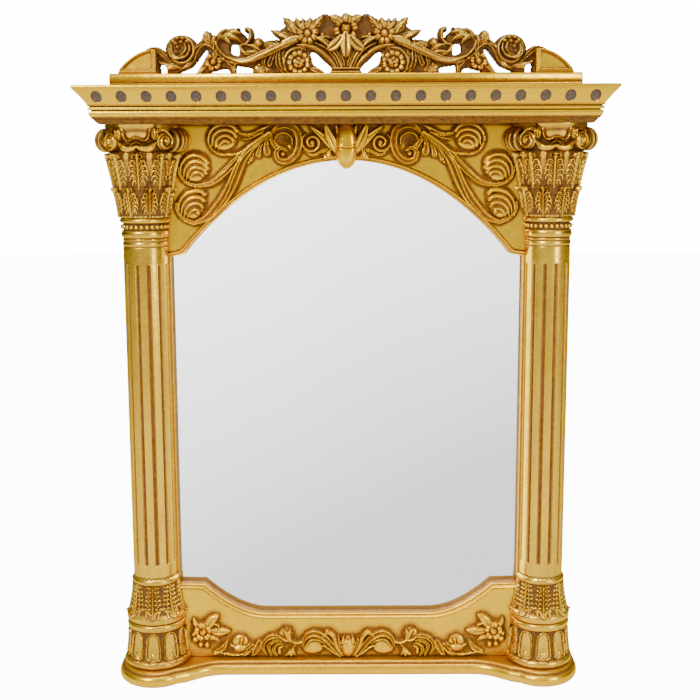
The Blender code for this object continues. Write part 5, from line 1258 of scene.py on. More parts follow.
# Cornice: one mitred moulding with sunk discs along its splay
def swept(name, profile, half, depth, patina_and_painted_shade=None):
    """A moulding mitred round three sides, from insets and heights; it closes on the wall."""
    points, hollow = [], []
    for k, (inset, z) in enumerate(profile):
        w, d = half - inset, depth - inset
        points += [(-w, 0, z), (-w, -d, z), (w, -d, z), (w, 0, z)]
        hollow += [patina_and_painted_shade[k] if patina_and_painted_shade else 0] * 4
    count = len(profile)
    faces = [[0, 1, 2, 3], [4 * count - 1, 4 * count - 2, 4 * count - 3, 4 * count - 4]]
    for k in range(count - 1):
        for i in range(4):
            j = (i + 1) % 4
            faces.append([4 * k + i, 4 * k + j, 4 * k + 4 + j, 4 * k + 4 + i])
    return outward(mesh_of(name, points, faces, hollow))


def rounded(a, b, out, steps=6):
    """Points of a rounded edge from a to b that swells outwards."""
    t = np.linspace(0, 1, steps)
    return [(a[0] + (b[0] - a[0]) * u - out * math.sin(math.pi * u), a[1] + (b[1] - a[1]) * u) for u in t]


def build_cornice():
    s, low = 27.0, CORNICE_LOW
    splay = CORNICE_TOP - 29.0
    profile = [(s + 6.0, low), (s + 4.6, low + 1.0), (s + 2.6, low + 3.6), (s + 1.0, low + 5.0),
               (s + 0.6, low + 6.4),
               (s - 1.0, low + 7.0), (s - 2.6, low + 8.6), (s - 4.4, low + 11.5)]
    profile += rounded((s - 5.0, low + 12.4), (s - 5.4, low + 18.6), 0.9)
    profile += [(s - 2.4, low + 19.2), (s - 2.2, low + 20.2), (s - 5.0, low + 20.6)]
    profile += rounded((s - 6.4, low + 20.9), (s - 6.8, splay - 3.4), 0.7)
    profile += [(s - 4.6, splay - 2.9), (s - 4.4, splay - 2.0)]
    profile += [(s - 7.6, splay - 1.6), (s - 8.0, splay - 0.2), (s - 7.2, splay + 0.4)]
    profile += [(s * 0.36, splay + 24.0 * 0.58), (1.6, CORNICE_TOP - 6.0)]
    profile += [(0.9, CORNICE_TOP - 5.6), (0.2, CORNICE_TOP - 4.9), (0.0, CORNICE_TOP - 3.8),
                (0.1, CORNICE_TOP - 2.0),
                (0.7, CORNICE_TOP - 0.7), (1.8, CORNICE_TOP), (30.0, CORNICE_TOP)]
    # marks paint shade into the two grooves and onto the soffit and bed mould under the cornice, partly
    # patina; the top face is darkened as well
    marks = [0] * len(profile)
    for k, (inset, z) in enumerate(profile):
        if low + 19.0 <= z <= low + 20.8 or splay - 3.0 <= z <= splay - 1.5:
            marks[k] = 1.0
        elif z <= low + 8.7:
            marks[k] = 1.0
        elif z == CORNICE_TOP:
            marks[k] = 0.75
    obj = swept("cornice_moulding", profile, CORNICE_HALF, CORNICE_DEPTH, marks)
    cutters = []
    lean = math.atan2(24.0, s - 7.5)
    for k in range(DIMPLES):
        x = (k - DIMPLES // 2) * DIMPLE_PITCH
        points, faces = [], []
        for r, deep in ((8.8, 12.0), (8.7, 0.3), (8.1, -0.9), (7.7, -2.4), (6.6, -3.3), (4.6, -3.9),
                        (2.3, -4.1)):
            points += [(r * math.cos(2 * math.pi * j / 32), -deep,
                        1.30 * r * math.sin(2 * math.pi * j / 32))
                       for j in range(32)]
        for ring in range(6):
            for j in range(32):
                n = (j + 1) % 32
                faces.append([ring * 32 + j, ring * 32 + n, ring * 32 + 32 + n, ring * 32 + 32 + j])
        faces += [list(range(32))[::-1], list(range(192, 224))]
        place = (Matrix.Translation((x, -CORNICE_DEPTH + s * 0.40, splay + 24.0 * 0.49))
                 @ Matrix.Rotation(math.pi / 2 - lean, 4, "X"))
        placed = [tuple(place @ Vector(p)) for p in points]
        # the cutters carry a dark value onto the discs' walls: painted shade in the sunk discs
        cutter = mesh_of("disc", placed, faces, [0.8] * len(points))
        cutters.append(cutter)
    cut_out(obj, cutters)
    finish(obj, gilt, patina, slot="gilt", smooth=32)
    across = Vector((0, -math.sin(lean), -math.cos(lean)))
    for face in obj.data.polygons:
        spot = face.center * 1000 + Vector((0, 0, HANG))
        k = round(spot.x / 37.5)
        off = spot - Vector((k * 37.5, -135.0 + s * 0.40, splay + 24.0 * 0.49))
        if abs(k) <= 10 and off.dot(across) < -1.2 and (off - across * off.dot(across)).length < 11.4:
            face.material_index = 1
    piece(obj, "cornice")


build_cornice()


# Shelf: its plan swells under each column, its edge is a full round
def shelf_plan(inset):
    half_w, reach = 386.0 - inset, 106.0 - 34.0 - inset
    line = [(0.0, -56.0 + inset), (-80.0, -56.0 + inset), (-160.0, -56.0 + inset)]
    line += [tuple(p) for p in bezier((-205.0, -56.0 + inset), (-236.0, -56.2 + inset),
                                      (-247.0 - inset * 0.3, -70.0 + inset),
                                      (-268.0 - inset * 0.4, -84.0 + inset * 0.85), 12)]
    for k in range(24):
        a = math.radians(-40 + 130 * k / 23)
        line.append((-COLUMN_X - math.sin(a) * (half_w - COLUMN_X), COLUMN_Y - reach * math.cos(a)))
    line.append((-half_w, 0.0))
    line = np.array(line)
    return np.vstack([line, (line[1:] * (-1, 1))[::-1]])


def build_shelf():
    levels = [(7.4, 0.0), (5.2, 0.4), (3.0, 1.6), (1.4, 3.4), (0.4, 5.8), (0.0, 8.6), (0.0, 11.0),
              (0.5, 13.8),
              (1.6, 16.4), (3.2, 18.4), (5.0, 19.6), (6.4, 20.2), (6.9, 20.9), (7.6, 21.6), (9.0, 23.2),
              (11.0, 24.2),
              (14.0, 24.5), (22.0, 24.5)]
    # marks paint shade into the crease under the nose and where the top meets the panel, partly patina
    marks = [0, 0, 0, 0, 0, 0, 0, 0, 0, 0.1, 0.6, 1.0, 1.0, 0.5, 0.1, 0.1, 0.3, 0.4]
    rings = [[(x, min(y, 0.0), z) for x, y in shelf_plan(inset)] for inset, z in levels]
    count = len(rings[0])
    points = [p for ring in rings for p in ring]
    hollow = [m for m in marks for _ in range(count)]
    faces = [list(range(count))[::-1], list(range(len(points) - count, len(points)))]
    for k in range(len(rings) - 1):
        for i in range(count):
            j = (i + 1) % count
            faces.append([k * count + i, k * count + j, (k + 1) * count + j, (k + 1) * count + i])
    obj = outward(mesh_of("shelf_moulding", points, faces, hollow))
    piece(finish(obj, gilt, slot="gilt", smooth=50), "base_shelf")


build_shelf()


# Crest: pierced floral carving on a moulded strip, with a quarter-round block at each end
def crest_shapes():
    """The carving of the left half, back to front in its order, drawn over the crest's ground."""
    return [
        # end block's leaf stem and the ball flower
        stem([(-314.6, 1021.6), (-303.7, 1027.3), (-291.3, 1026.9), (-279.2, 1017.1), (-271.7, 1009.6)],
             (2.4, 5.0, 7.0, 6.4, 3.0),
             (9, 11, 12, 12, 9), "hollow"),
        leaf((-264.1, 1003.5), (-291.0, 1010.3), 9.0, 10.0, 0.12, "lined"),
        leaf((-256.4, 1003.5), (-279.8, 995.2), 10.0, 11.0, -0.10, "lined"),
        leaf((-239.2, 1011.1), (-258.1, 994.5), 9.0, 14.0, 0.10, "vein"),
        stem([(-270.1, 1009.6), (-253.3, 1002.0), (-238.4, 1009.6), (-231.2, 1024.6), (-221.7, 1034.4)],
             (5.0, 8.0, 8.5, 7.0, 5.0),
             (11, 13, 14, 13, 12), "hollow"),
        boss((-254.3, 1027.6), 23.5, 21.0, 12.0, 2.4),
        ribbon(arc((-253.5, 1026.9), 19.6, -155, 70, 22), (1.4, 2.4, 2.6, 2.0), (13.0, 17.0, 17.0, 14.0)),
        ribbon(arc((-259.7, 1024.6), 11.5, 160, 330, 18), (1.6, 2.4, 2.4, 1.6), (18.0, 20.5, 20.5, 18.0)),
        ribbon(arc((-255.0, 1028.4), 14.2, -170, -10, 18), (1.6, 2.8, 2.8, 1.6), (17.0, 20.0, 20.0, 17.0)),
        stem([(-247.9, 1035.9), (-245.8, 1027.6), (-250.6, 1020.1), (-257.6, 1017.1)],
             (4.0, 5.0, 4.6, 2.0), (20.0, 21.5, 21.0, 19.0), "lined"),
        stem([(-240.8, 1035.1), (-240.4, 1026.1), (-246.0, 1017.1)], (3.0, 4.4, 2.4), (17.5, 19.5, 18.5),
             "round"),
        stem([(-267.4, 1033.6), (-267.6, 1024.6), (-262.2, 1018.0)], (3.0, 4.4, 2.4), (17.5, 19.5, 18.5),
             "round"),
        boss((-265.3, 1039.6), 4.4, 4.4, 19.0), boss((-259.0, 1044.3), 4.4, 4.0, 18.5),
        boss((-250.8, 1044.3), 4.4, 4.0, 18.5),
        boss((-261.0, 1036.0), 4.2, 4.0, 21.0), boss((-253.0, 1038.1), 4.2, 4.2, 21.5),
        boss((-243.7, 1039.0), 4.2, 4.2, 19.0),
        boss((-258.2, 1030.3), 4.2, 3.6, 22.0),
        boss((-260.1, 1023.7), 2.2, 2.2, 22.5),
        # bud on the rising stem
        leaf((-210.9, 1033.6), (-215.9, 1055.2), 17.0, 11.0, 0.0, "flat"),
        leaf((-210.1, 1035.1), (-219.8, 1051.6), 8.5, 15.5, 0.12, "lined"),
        leaf((-210.1, 1035.1), (-211.3, 1054.3), 7.0, 17.0, -0.04, "keel"),
        leaf((-207.8, 1035.1), (-202.2, 1049.5), 7.5, 15.0, -0.10, "lined"),
        # rising stem, scroll and the loop with its leaf
        stem([(-237.7, 1009.6), (-232.0, 1021.6), (-226.4, 1032.1), (-216.2, 1038.4), (-204.8, 1033.6),
              (-194.2, 1022.4), (-182.0, 1011.8), (-168.2, 1007.3)],
             (4.0, 7.5, 9.0, 10.0, 10.5, 10.0, 8.0, 5.0), (10, 12, 13, 13.5, 13, 12.5, 12, 11), "hollow"),
        stem([(-201.1, 1023.1), (-200.8, 1038.1), (-193.7, 1048.6), (-181.3, 1053.9), (-167.5, 1053.1)],
             (5.0, 6.5, 7.5, 8.0, 5.0),
             (14, 16, 16.5, 16.5, 15), "hollow"),
        stem([(-200.8, 1039.6), (-195.6, 1026.9), (-185.0, 1016.4), (-170.4, 1011.1)],
             (3.0, 4.4, 4.4, 3.0), (15.5, 16.5, 16, 14)),
        leaf((-192.2, 1044.9), (-164.3, 1059.8), 11.5, 17.0, -0.10, "lined"),
        leaf((-189.9, 1044.1), (-177.0, 1034.4), 8.5, 17.5, 0.14, "vein"),
        leaf((-186.0, 1047.9), (-159.2, 1036.9), 9.5, 17.5, 0.12, "lined"),
        leaf((-186.0, 1051.6), (-159.0, 1050.4), 10.0, 18.5, 0.10, "lined"),
        leaf((-198.4, 1042.6), (-185.1, 1059.1), 7.5, 15.0, 0.05, "vein"),
        stem([(-161.6, 1034.4), (-153.1, 1036.6), (-146.8, 1045.6), (-147.4, 1054.9), (-152.8, 1058.2)],
             (3.4, 4.6, 5.6, 6.0, 5.0),
             (11, 14, 15.5, 15.5, 13)),
        # lower flower on its legs
        stem([(-217.7, 1003.5), (-224.8, 998.3), (-231.9, 989.9)], (8.0, 9.5, 11.0), (7.5, 8, 8), "hollow"),
        stem([(-181.3, 1008.8), (-173.6, 1002.0), (-171.5, 988.4)], (7.0, 8.5, 6.5), (10, 11, 10),
             "hollow"),
        flower((-205.2, 1009.1), 15.2, 6, 11.5, 0.2, 0.30, 0, 0.28, 0.5, 1.1, 2),
        boss((-213.6, 1016.2), 4.4, 4.4, 12.5), boss((-202.8, 1013.2), 3.6, 3.6, 13.5),
        boss((-188.9, 1013.2), 4.0, 4.0, 13.5),
        boss((-210.0, 1002.3), 3.6, 3.6, 12.5), boss((-196.0, 1003.5), 4.6, 4.2, 11.5),
        # long S stem, its lobes, ball and scroll leaf
        stem([(-164.7, 1033.6), (-158.6, 1024.6), (-149.4, 1020.1), (-138.6, 1022.4)],
             (5.0, 8.0, 9.0, 4.0), (7.5, 9, 9.5, 10)),
        leaf((-130.8, 1024.6), (-153.9, 1034.8), 8.5, 15.0, -0.08, "lined"),
        leaf((-130.9, 1021.6), (-157.9, 1022.8), 7.5, 13.5, -0.06, "lined"),
        boss((-135.6, 1036.9), 7.4, 7.4, 14.5),
        boss((-114.5, 1032.9), 14.0, 7.6, 13.0),
        ribbon(arc((-114.5, 1034.5), 9.2, 190, 400, 20), (1.2, 1.8, 1.8, 1.2), (14, 16.5, 16.5, 14)),
        stem([(-126.9, 1030.6), (-116.8, 1035.7), (-104.5, 1034.4)], (2.0, 3.0, 2.0), (15, 17, 15)),
        stem([(-181.9, 1017.1), (-168.1, 1010.3), (-151.1, 1010.8), (-132.5, 1017.7), (-115.4, 1025.4),
              (-96.8, 1033.6), (-75.9, 1040.8)],
             (5.0, 9.0, 11.5, 12.5, 13.0, 12.0, 8.0), (12, 15, 16.5, 17.5, 18, 18, 17), "lined"),
        stem([(-178.9, 1013.2), (-162.0, 1007.8), (-143.4, 1009.9), (-124.8, 1017.1)],
             (1.8, 2.8, 2.8, 1.6), (14.5, 17.5, 18.5, 17)),
        stem([(-96.8, 1037.4), (-84.4, 1042.6), (-75.1, 1044.7)], (8.0, 11.0, 8.0), (17, 19, 18), "flat"),
        # hanging lobes
        boss((-131.1, 999.0), 13.0, 11.0, 5.5, 3.0),
        stem([(-121.6, 1020.1), (-127.2, 1009.6), (-124.2, 998.3)], (4.0, 5.5, 2.0), (13, 14, 10),
             "hollow"),
        stem([(-110.8, 1023.1), (-114.0, 1014.8), (-117.9, 1005.1)], (3.6, 6.5, 7.5), (14, 16, 14.5),
             "hollow"),
        stem([(-103.8, 1025.4), (-105.5, 1014.8), (-104.0, 1003.5), (-96.4, 990.7)], (4.0, 7.0, 7.5, 2.4),
             (13, 14.5, 14, 9), "hollow"),
        stem([(-95.3, 1024.6), (-99.3, 1014.1), (-97.1, 1002.0), (-87.9, 989.9)], (3.0, 5.5, 6.0, 2.0),
             (11, 12.5, 12, 8), "hollow"),
        stem([(-131.2, 994.5), (-125.1, 989.9), (-112.7, 989.2)], (4.0, 5.0, 4.0), (7, 8, 7)),
        boss((-134.2, 1004.3), 3.6, 3.6, 9.5), boss((-127.3, 996.0), 3.4, 3.4, 9.0),
        boss((-139.7, 995.2), 3.6, 3.6, 8.5),
        # dark bowl behind the bouquet's lower flower, and that flower
        boss((-73.1, 1009.6), 23.0, 21.5, 6.5, 4.0),
        ribbon(arc((-73.1, 1007.3), 22.5, 60, 210, 20), (1.6, 3.0, 3.0, 1.6), (8, 10.5, 10.5, 8)),
        flower((-73.1, 1007.2), 20.0, 11, 14.0, 0.5, 0.36, 0, 0.14, 0.45, 0.8, 0),
        flower((-73.4, 1007.2), 9.2, 5, 17.0, 0.2, 0.30, 0, 0.22, 0.15, 1.0, 0, 0.20, 0.12),
        boss((-72.0, 1012.3), 3.9, 3.6, 18.0), boss((-76.2, 1007.2), 3.9, 3.9, 18.5),
        boss((-69.5, 1004.4), 4.9, 4.9, 19.0),
        boss((-65.8, 1010.3), 3.2, 3.6, 17.5),
        stem([(-52.3, 997.5), (-44.5, 995.2), (-36.8, 989.9)], (5.0, 9.0, 6.0), (7, 9, 7), "hollow"),
        # sprays of the bouquet
        leaf((-75.2, 1041.1), (-115.7, 1056.4), 14.5, 13.5, 0.03, "lined", 4, lean=1.6),
        leaf((-72.0, 1045.6), (-95.5, 1074.9), 18.0, 16.0, -0.04, "lined", 4, lean=1.6),
        leaf((-70.5, 1051.6), (-87.2, 1071.6), 9.5, 18.5, 0.0, "keel"),
        leaf((-65.8, 1053.1), (-77.4, 1075.2), 9.5, 17.0, 0.0, "vein"),
        leaf((-64.3, 1056.1), (-66.6, 1074.6), 9.0, 17.5, 0.0, "keel"),
        leaf((-58.1, 1057.6), (-54.2, 1075.5), 10.0, 15.0, 0.0, "vein"),
        leaf((-52.0, 1054.6), (-32.8, 1077.6), 15.0, 17.0, 0.06, "lined", 4, lean=1.4),
        leaf((-50.4, 1051.6), (-41.1, 1077.0), 8.5, 18.5, 0.0, "keel"),
        leaf((-76.7, 1038.1), (-104.4, 1047.7), 9.0, 17.0, -0.05, "vein"),
        boss((-31.9, 1059.1), 12.0, 20.0, 1.6, 4.0),
        boss((-36.6, 1049.4), 4.6, 4.4, 9.5), boss((-28.1, 1045.6), 4.4, 4.2, 10.5),
        # basket: ground, rim, outer handle lines and reeded ribs
        stem([(-14.3, 995.2), (-20.4, 1007.2), (-32.8, 1020.1), (-47.5, 1029.4), (-62.9, 1033.3),
              (-73.7, 1033.6)], (7.0, 8.5, 8.5, 7.0, 4.0),
             (10, 12, 13.5, 14, 13), "lined"),
        stem([(-11.2, 999.0), (-17.4, 1013.3), (-30.5, 1027.9), (-47.4, 1036.9)], (2.6, 3.4, 3.4, 2.4),
             (13, 16, 17, 16)),
        stem([(-7.4, 1000.5), (-13.5, 1015.0), (-24.3, 1029.1), (-33.5, 1038.1), (-42.8, 1043.4)],
             (4.0, 5.0, 6.0, 7.0, 6.0),
             (13, 15, 17, 18, 17), "flat"),
        stem([(-4.9, 1001.3), (-9.5, 1015.6), (-18.8, 1029.7), (-28.9, 1039.6), (-39.7, 1045.6)],
             (2.4, 3.0, 3.0, 3.0, 2.4),
             (14, 18, 19.5, 20, 18.5)),
        stem([(-2.1, 1001.3), (-4.9, 1012.6), (-10.4, 1024.6)], (3.0, 4.0, 5.0), (13, 15, 15), "flat"),
        stem([(-1.8, 1002.0), (-4.3, 1011.8), (-8.1, 1019.4)], (2.0, 2.6, 2.4), (14, 17.5, 17)),
        stem([(-45.9, 1044.1), (-34.3, 1045.9), (-24.3, 1044.1)], (3.0, 4.2, 3.0), (15, 18.5, 16), "round"),
        # side flower
        flower((-59.1, 1051.0), 18.6, 9, 21.0, 0.25, 0.30, 0, 0.14, 0.20, 0.92, 3, 0.24, 0.16),
        leaf((-62.9, 1031.4), (-71.4, 1022.2), 5.0, 16.0, 0.0, "keel"),
        # leaves round the middle flower
        leaf((-7.3, 1066.6), (-25.7, 1077.0), 13.5, 14.0, -0.05, "lined"),
        leaf((-5.8, 1063.6), (-15.7, 1077.9), 9.5, 15.5, 0.0, "vein"),
        leaf((-2.7, 1065.1), (-6.5, 1077.7), 8.0, 13.0, 0.0, "vein"),
        stem([(-7.3, 1044.9), (-11.2, 1038.9), (-17.4, 1032.4), (-22.8, 1028.5), (-28.7, 1025.2)],
             (8.0, 15.0, 17.5, 12.5, 1.5),
             (24.0, 25.0, 25.5, 25.0, 24.0), "blade"),
    ]


LEFT_OUTLINE = ((-357.3, 989.2), (-355.7, 993.0), (-341.2, 1009.6), (-325.5, 1020.9), (-311.4, 1026.4),
                (-300.5, 1029.1), (-288.2, 1027.6), (-280.6, 1022.4),
    (-275.8, 1032.1), (-269.4, 1041.9), (-260.0, 1047.9), (-249.2, 1048.6), (-240.0, 1044.9),
    (-233.3, 1035.1), (-231.1, 1026.1), (-223.2, 1035.9), (-221.5, 1047.1),
    (-215.2, 1053.1), (-207.6, 1048.6), (-199.9, 1044.9), (-195.2, 1050.1), (-182.8, 1057.6),
    (-168.9, 1059.1), (-159.8, 1053.1), (-153.7, 1048.6), (-149.2, 1036.6), (-141.5, 1039.6),
    (-135.2, 1044.9), (-129.2, 1036.6), (-118.3, 1038.9), (-103.0, 1035.9), (-93.7, 1039.6),
    (-109.0, 1051.6), (-87.3, 1066.6), (-71.9, 1071.0), (-53.4, 1072.5),
    (-38.0, 1074.0), (-25.7, 1075.5), (-13.4, 1074.0), (-0.4, 1069.5))
PIERCINGS = (
    ((-289.7, 1001.3), (-288.0, 1005.8), (-281.8, 1005.1), (-277.3, 999.8), (-278.3, 989.9),
     (-286.9, 989.9)),
    ((-219.6, 1026.4), (-213.4, 1028.2), (-214.3, 1020.1), (-219.1, 1012.6), (-224.7, 1002.8),
     (-236.5, 989.9), (-263.6, 989.9), (-253.4, 995.7),
     (-239.4, 1002.0), (-227.5, 1015.6)),
    ((-209.4, 994.5), (-199.3, 996.9), (-185.3, 999.6), (-180.0, 989.9), (-208.7, 989.9)),
    ((-170.4, 1004.1), (-160.5, 1002.6), (-146.6, 1000.2), (-143.9, 996.0), (-148.3, 989.9),
     (-169.2, 989.9)),
    ((-179.5, 1029.1), (-176.2, 1035.7), (-170.0, 1036.6), (-165.5, 1032.1), (-164.1, 1023.1),
     (-167.4, 1018.0), (-177.2, 1021.6)),
    ((-56.0, 1022.5), (-51.3, 1024.3), (-43.6, 1020.1), (-34.4, 1011.1), (-22.8, 999.8), (-24.4, 993.0),
     (-30.6, 989.9), (-39.1, 997.5),
     (-50.7, 1004.3), (-53.7, 1014.1)),
)


def carve_crest():
    low_z = STRIP_TOP - 1.5
    crest = Relief(-324.0, 324.0, low_z, 1084.5, 1.08)
    crest.H -= 60.0
    ground = distance(crest.X, crest.Z, np.vstack([curve(LEFT_OUTLINE, 3),
                                                   curve(LEFT_OUTLINE, 3)[::-1] * (-1, 1)]))
    hole = np.full_like(ground, 1e9)
    for loop in PIERCINGS:
        shape = curve(list(loop) + [loop[0]], 3)[:-1]
        hole = np.minimum(hole, distance(crest.X, crest.Z, shape))
    hole = np.minimum(hole, hole[:, ::-1])
    ground = np.maximum(ground + 2.4, -hole)
    crest.H = np.where(ground < 0, np.minimum(2.0, -ground * 1.4), -ground * 2.5)
    carving = Relief(crest.x[0], crest.x[-1], crest.z[0], crest.z[-1], 1.08)
    carving.H -= 60.0
    carving.lay(*crest_shapes(), blend=0.8)
    carving.mirror()
    middle = (-0.4, 1056.9)
    carving.lay(
        stem([(0, 992), (0, 1010)], (52, 46), (8, 9), "flat"),
        stem([(-21.5, (-0.4, 998.4)[1]), (0, (-0.4, 998.4)[1]), (21.5, (-0.4, 998.4)[1])], (3.6, 3.6, 3.6),
             (16, 17, 16)),
        stem([(-22.5, (-0.4, 993.0)[1]), (0, (-0.4, 993.0)[1]), (22.5, (-0.4, 993.0)[1])], (4.6, 4.6, 4.6),
             (15, 16, 15)),
        stem([(0, middle[1] - 8), (0, (-0.4, 1036.6)[1]), (0, (-0.4, 1027.6)[1]), (0, (-0.4, 1020.1)[1]),
              (0, (-0.4, 1014.1)[1])],
             (11.0, 17.5, 19.0, 13.0, 1.5), (24.0, 25.0, 26.0, 25.5, 24.0), "blade"),
        leaf((0, middle[1] + 8), (0, middle[1] + 25.5), 13.5, 18.0, 0, "vein"),
        leaf((-7, middle[1] + 5), (-16, middle[1] + 22.0), 11.5, 17.0, 0, "keel"),
        leaf((7, middle[1] + 5), (16, middle[1] + 22.0), 11.5, 17.0, 0, "keel"),
        flower((0, middle[1]), 21.0, 6, 22.5, 0.25, 0.33, 0, 0.26, 0.40, 1.05, 3, 0.26),
        boss((0.4, middle[1] - 1.0), 6.4, 6.2, 27.0),
        boss((-3.4, middle[1] + 4.0), 3.6, 3.4, 26.0), boss((3.8, middle[1] + 3.4), 3.4, 3.4, 25.6),
        blend=0.8)
    crest.H = smooth_max(crest.H, carving.H, 0.8)
    # the openings win over what is carved beside them
    crest.H = np.minimum(crest.H, 8.0 * (hole + 0.4))
    inner = crest.H > -6.0
    shown = inner[:-1, :-1] & inner[1:, 1:] & inner[1:, :-1] & inner[:-1, 1:]
    crest.H = np.maximum(crest.H, -8.0)
    # dark: patina and painted shade in the hollows, and strong painted shade on the low ground behind the
    # carving
    dark = hollows(crest.H, crest.pitch, 1.5, 4.2)
    dark = np.maximum(dark, 0.95 * np.clip((4.8 - crest.H) / 3.0, 0, 1))
    piece(skin("crest_carving", crest, shown, CREST_GROUND, CREST_BACK, dark, gilt_crest,
               slot="antiqued_gilt"), "crest")


carve_crest()


def build_strip():
    """The strip that the crest stands on: soft edges, a sunk line near its foot."""
    low, top = STRIP_LOW, STRIP_TOP
    front, back = 82.0, 30.0
    section_line = [(back, low), (front - 1.2, low), (front - 0.4, low + 0.4), (front, low + 1.4),
                    (front, low + 4.2),
                    (front - 0.9, low + 4.8), (front - 1.1, low + 5.6), (front - 0.5, low + 6.1),
                    (front, low + 6.8),
                    (front, top - 2.6), (front - 0.5, top - 1.1), (front - 1.8, top - 0.2),
                    (front - 3.5, top),
                    (back, top)]
    # marks paint shade into the sunk line near the foot, and a trace along the rounded top edge
    marks = [0, 0, 0, 0, 0.2, 1.0, 1.0, 0.3, 0, 0, 0, 0, 0.2, 0]
    points, hollow = [], []
    for x, drawn in ((-363.0, 1.6), (-361.9, 0.0), (361.9, 0.0), (363.0, 1.6)):
        for (d, z), m in zip(section_line, marks):
            mid = ((front + back) / 2, (low + top) / 2)
            k = 1 - drawn / 14.0
            points.append((x, -(mid[0] + (d - mid[0]) * (1 - drawn / 60.0)), mid[1] + (z - mid[1]) * k))
            hollow.append(m)
    count = len(section_line)
    faces = [list(range(count)), list(range(3 * count, 4 * count))[::-1]]
    for k in range(3):
        for i in range(count):
            j = (i + 1) % count
            faces.append([k * count + i, k * count + j, (k + 1) * count + j, (k + 1) * count + i])
    obj = outward(mesh_of("crest_strip", points, faces, hollow))
    piece(finish(obj, gilt, slot="gilt", smooth=45), "crest")


build_strip()


def build_end_block(side):
    """Quarter-round block with a sunk field inside a moulded band."""
    block_relief = Relief(-352.0, -287.0, STRIP_TOP - 0.6, STRIP_TOP + 43.0, 0.75)
    x, z = block_relief.X, block_relief.Z - STRIP_TOP
    outline = curve([(-351.8, 989.3), (-348.6, 997.5), (-338.2, 1008.8), (-324.0, 1019.2),
                     (-309.9, 1025.5), (-299.0, 1028.2), (-290.4, 1027.3)], 8)
    outline = np.vstack([outline, [(outline[-1][0], STRIP_TOP - 1.0)], [(outline[0][0], STRIP_TOP - 1.0)]])
    away = distance(block_relief.X, block_relief.Z, outline)
    edge = np.minimum((-291.1, 1012.6)[0] - x, z + 1.0)
    h = np.where(away < 0, 12.5 * (1 - np.clip(1 + away / 2.4, 0, 1) ** 2) ** 0.5, -away * 6)
    lines = (2.8, 4.9, 7.2)
    groove = sum(np.exp(-((edge - at) / 0.55) ** 2) for at in lines)
    rim = np.exp(-((away + 5.4) / 0.7) ** 2) * (edge > 7.2)
    h -= (1.2 * groove + 1.4 * rim) * (away < -1)
    h -= 1.6 * np.clip((edge - 7.2) / 0.8, 0, 1) * np.clip((-away - 5.8) / 0.8, 0, 1)
    h += 2.2 * np.clip((edge - 7.2) / 0.8, 0, 1) * np.exp(-((away + 2.6) / 1.9) ** 2)
    block_relief.H = h
    inner = h > -0.4
    keep = inner[:-1, :-1] & inner[1:, 1:] & inner[1:, :-1] & inner[:-1, 1:]
    # dark: patina and painted shade in the hollows, the grooves and the sunk line of the band
    dark = hollows(h, 0.75, 1.2, 3.0)
    dark = np.maximum(dark, 0.75 * np.clip(groove + rim, 0, 1) * (away < -1.5))
    made = skin("end_block_" + ("left" if side < 0 else "right"), block_relief, keep, 66.0, CREST_BACK,
                dark,
                gilt, slot="gilt")
    if side > 0:
        for v in made.data.vertices:
            v.co.x = -v.co.x
        made.data.flip_normals()
    piece(made, "crest")


build_end_block(-1)
build_end_block(1)

# Glass, back board and hanging plates keep their solids
for node_name, material in (("mirror_glass", silvering()), ("back_board", hardboard),
                            ("keyhole_plate_left", brushed_steel()),
                            ("keyhole_plate_right", brushed_steel())):
    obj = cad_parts[node_name]
    obj.data.materials.clear()
    obj.data.materials.append(material)

# Studio: pale floor, soft light, camera
floor_mesh = bpy.data.meshes.new("floor")
ring = [(9 * math.cos(2 * math.pi * k / 48), 9 * math.sin(2 * math.pi * k / 48),
         -(HANG + 1) * 0.001) for k in range(48)]
floor_mesh.from_pydata(ring, [], [list(range(48))])
floor = bpy.data.objects.new("floor", floor_mesh)
bpy.context.scene.collection.objects.link(floor)
paper, paper_tree, paper_shader = new_material("pale floor")
paper_tree.links.new(ramp(paper_tree, noise(paper_tree, 2.0, 2), (0.3, (0.90, 0.90, 0.89)),
                          (0.7, (0.93, 0.93, 0.92))),
                     paper_shader.inputs["Base Color"])
paper_shader.inputs["Roughness"].default_value = 0.9
# seen straight from the camera the floor is as white as the paper behind, and the mirror sees past it
paper_seen = paper_tree.nodes.new("ShaderNodeLightPath")
paper_glow = paper_tree.nodes.new("ShaderNodeEmission")
paper_glow.inputs["Strength"].default_value = 12.0
paper_both = paper_tree.nodes.new("ShaderNodeAddShader")
paper_tree.links.new(paper_shader.outputs["BSDF"], paper_both.inputs[0])
paper_tree.links.new(paper_glow.outputs["Emission"], paper_both.inputs[1])
paper_camera = paper_tree.nodes.new("ShaderNodeMixShader")
paper_tree.links.new(paper_seen.outputs["Is Camera Ray"], paper_camera.inputs["Fac"])
paper_tree.links.new(paper_shader.outputs["BSDF"], paper_camera.inputs[1])
paper_tree.links.new(paper_both.outputs["Shader"], paper_camera.inputs[2])
paper_clear = paper_tree.nodes.new("ShaderNodeBsdfTransparent")
paper_mirror = paper_tree.nodes.new("ShaderNodeMixShader")
paper_tree.links.new(paper_seen.outputs["Is Singular Ray"], paper_mirror.inputs["Fac"])
paper_tree.links.new(paper_camera.outputs["Shader"], paper_mirror.inputs[1])
paper_tree.links.new(paper_clear.outputs["BSDF"], paper_mirror.inputs[2])
paper_tree.links.new(paper_mirror.outputs["Shader"], paper_tree.nodes["Material Output"].inputs["Surface"])
floor_mesh.materials.append(paper)

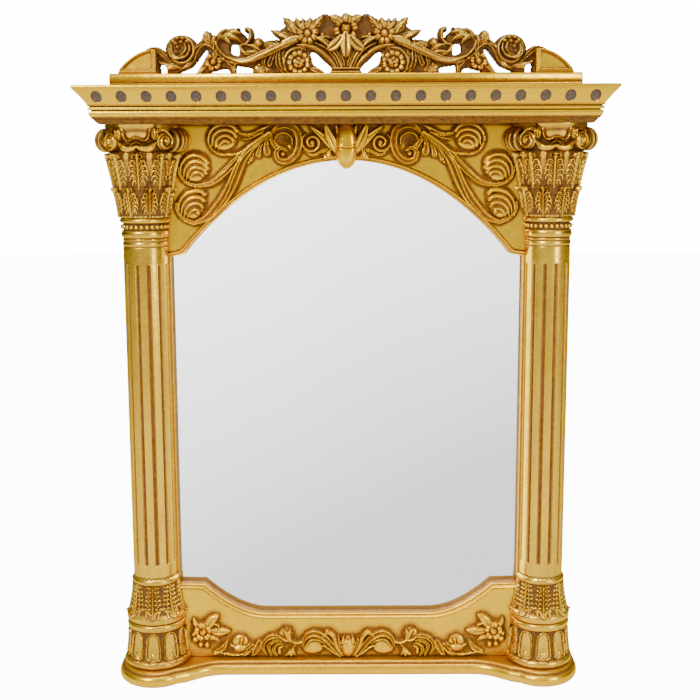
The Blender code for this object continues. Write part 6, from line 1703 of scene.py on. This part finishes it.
world = bpy.data.worlds.new("studio")
bpy.context.scene.world = world
world.use_nodes = True
sky = world.node_tree
background = sky.nodes["Background"]
where = sky.nodes.new("ShaderNodeTexCoord")
split = sky.nodes.new("ShaderNodeSeparateXYZ")
sky.links.new(where.outputs["Generated"], split.inputs["Vector"])
sides = sums(sky, "MULTIPLY", split.outputs["X"], split.outputs["X"])
front = ramp(sky, sums(sky, "MULTIPLY", split.outputs["Y"], -1.0), (0.0, 0.20), (0.55, 0.50), (1.0, 0.72))
above = ramp(sky, split.outputs["Z"], (0.0, 0.0), (0.9, 0.55))
glow = sums(sky, "ADD", front, above)
glow = sums(sky, "SUBTRACT", glow, sums(sky, "MULTIPLY", sides, 0.25), True)
seen = sky.nodes.new("ShaderNodeLightPath")
lit = blended(sky, glow, (0.02, 0.02, 0.02), (1.0, 0.96, 0.86))
slope = sums(sky, "ADD", sums(sky, "MULTIPLY", split.outputs["Z"], -2.4),
             sums(sky, "MULTIPLY", split.outputs["X"], 1.1))
veil = ramp(sky, sums(sky, "ADD", slope, 0.25), (0.0, 1.10), (0.5, 0.74), (1.0, 0.38))
lit = blended(sky, seen.outputs["Is Singular Ray"], lit, sums(sky, "MULTIPLY", veil, 4.4))
tone = blended(sky, seen.outputs["Is Camera Ray"], lit, (16.0, 16.0, 16.0))
sky.links.new(tone, background.inputs["Color"])
background.inputs["Strength"].default_value = 1.0


def softbox(name, spot, target, width, height, power, colour=(1, 1, 1)):
    lamp = bpy.data.lights.new(name, "AREA")
    lamp.shape, lamp.size, lamp.size_y, lamp.energy, lamp.color = "RECTANGLE", width, height, power, colour
    obj = bpy.data.objects.new(name, lamp)
    bpy.context.scene.collection.objects.link(obj)
    obj.location = spot
    obj.rotation_euler = (Vector(target) - Vector(spot)).to_track_quat("-Z", "Y").to_euler()


softbox("key", (-1.6, -2.6, 1.4), (0, 0, -0.25), 1.0, 1.0, 82, (1, 0.95, 0.85))
softbox("fill", (2.2, -2.2, 0.2), (0, 0, -0.3), 0.7, 1.5, 34, (1, 0.96, 0.88))
softbox("top", (0.0, -0.9, 2.3), (0, 0, -0.2), 2.0, 0.7, 34, (1, 0.96, 0.88))

view_data = bpy.data.cameras.new("photo view")
view_data.sensor_width = 36.0
view_data.lens = 62.05
camera = bpy.data.objects.new("photo view", view_data)
bpy.context.scene.collection.objects.link(camera)
camera.location = (0.0058, -1.9723, -0.0213)
camera.rotation_euler = (math.radians(80.73), math.radians(0.2), 0)
bpy.context.scene.camera = camera
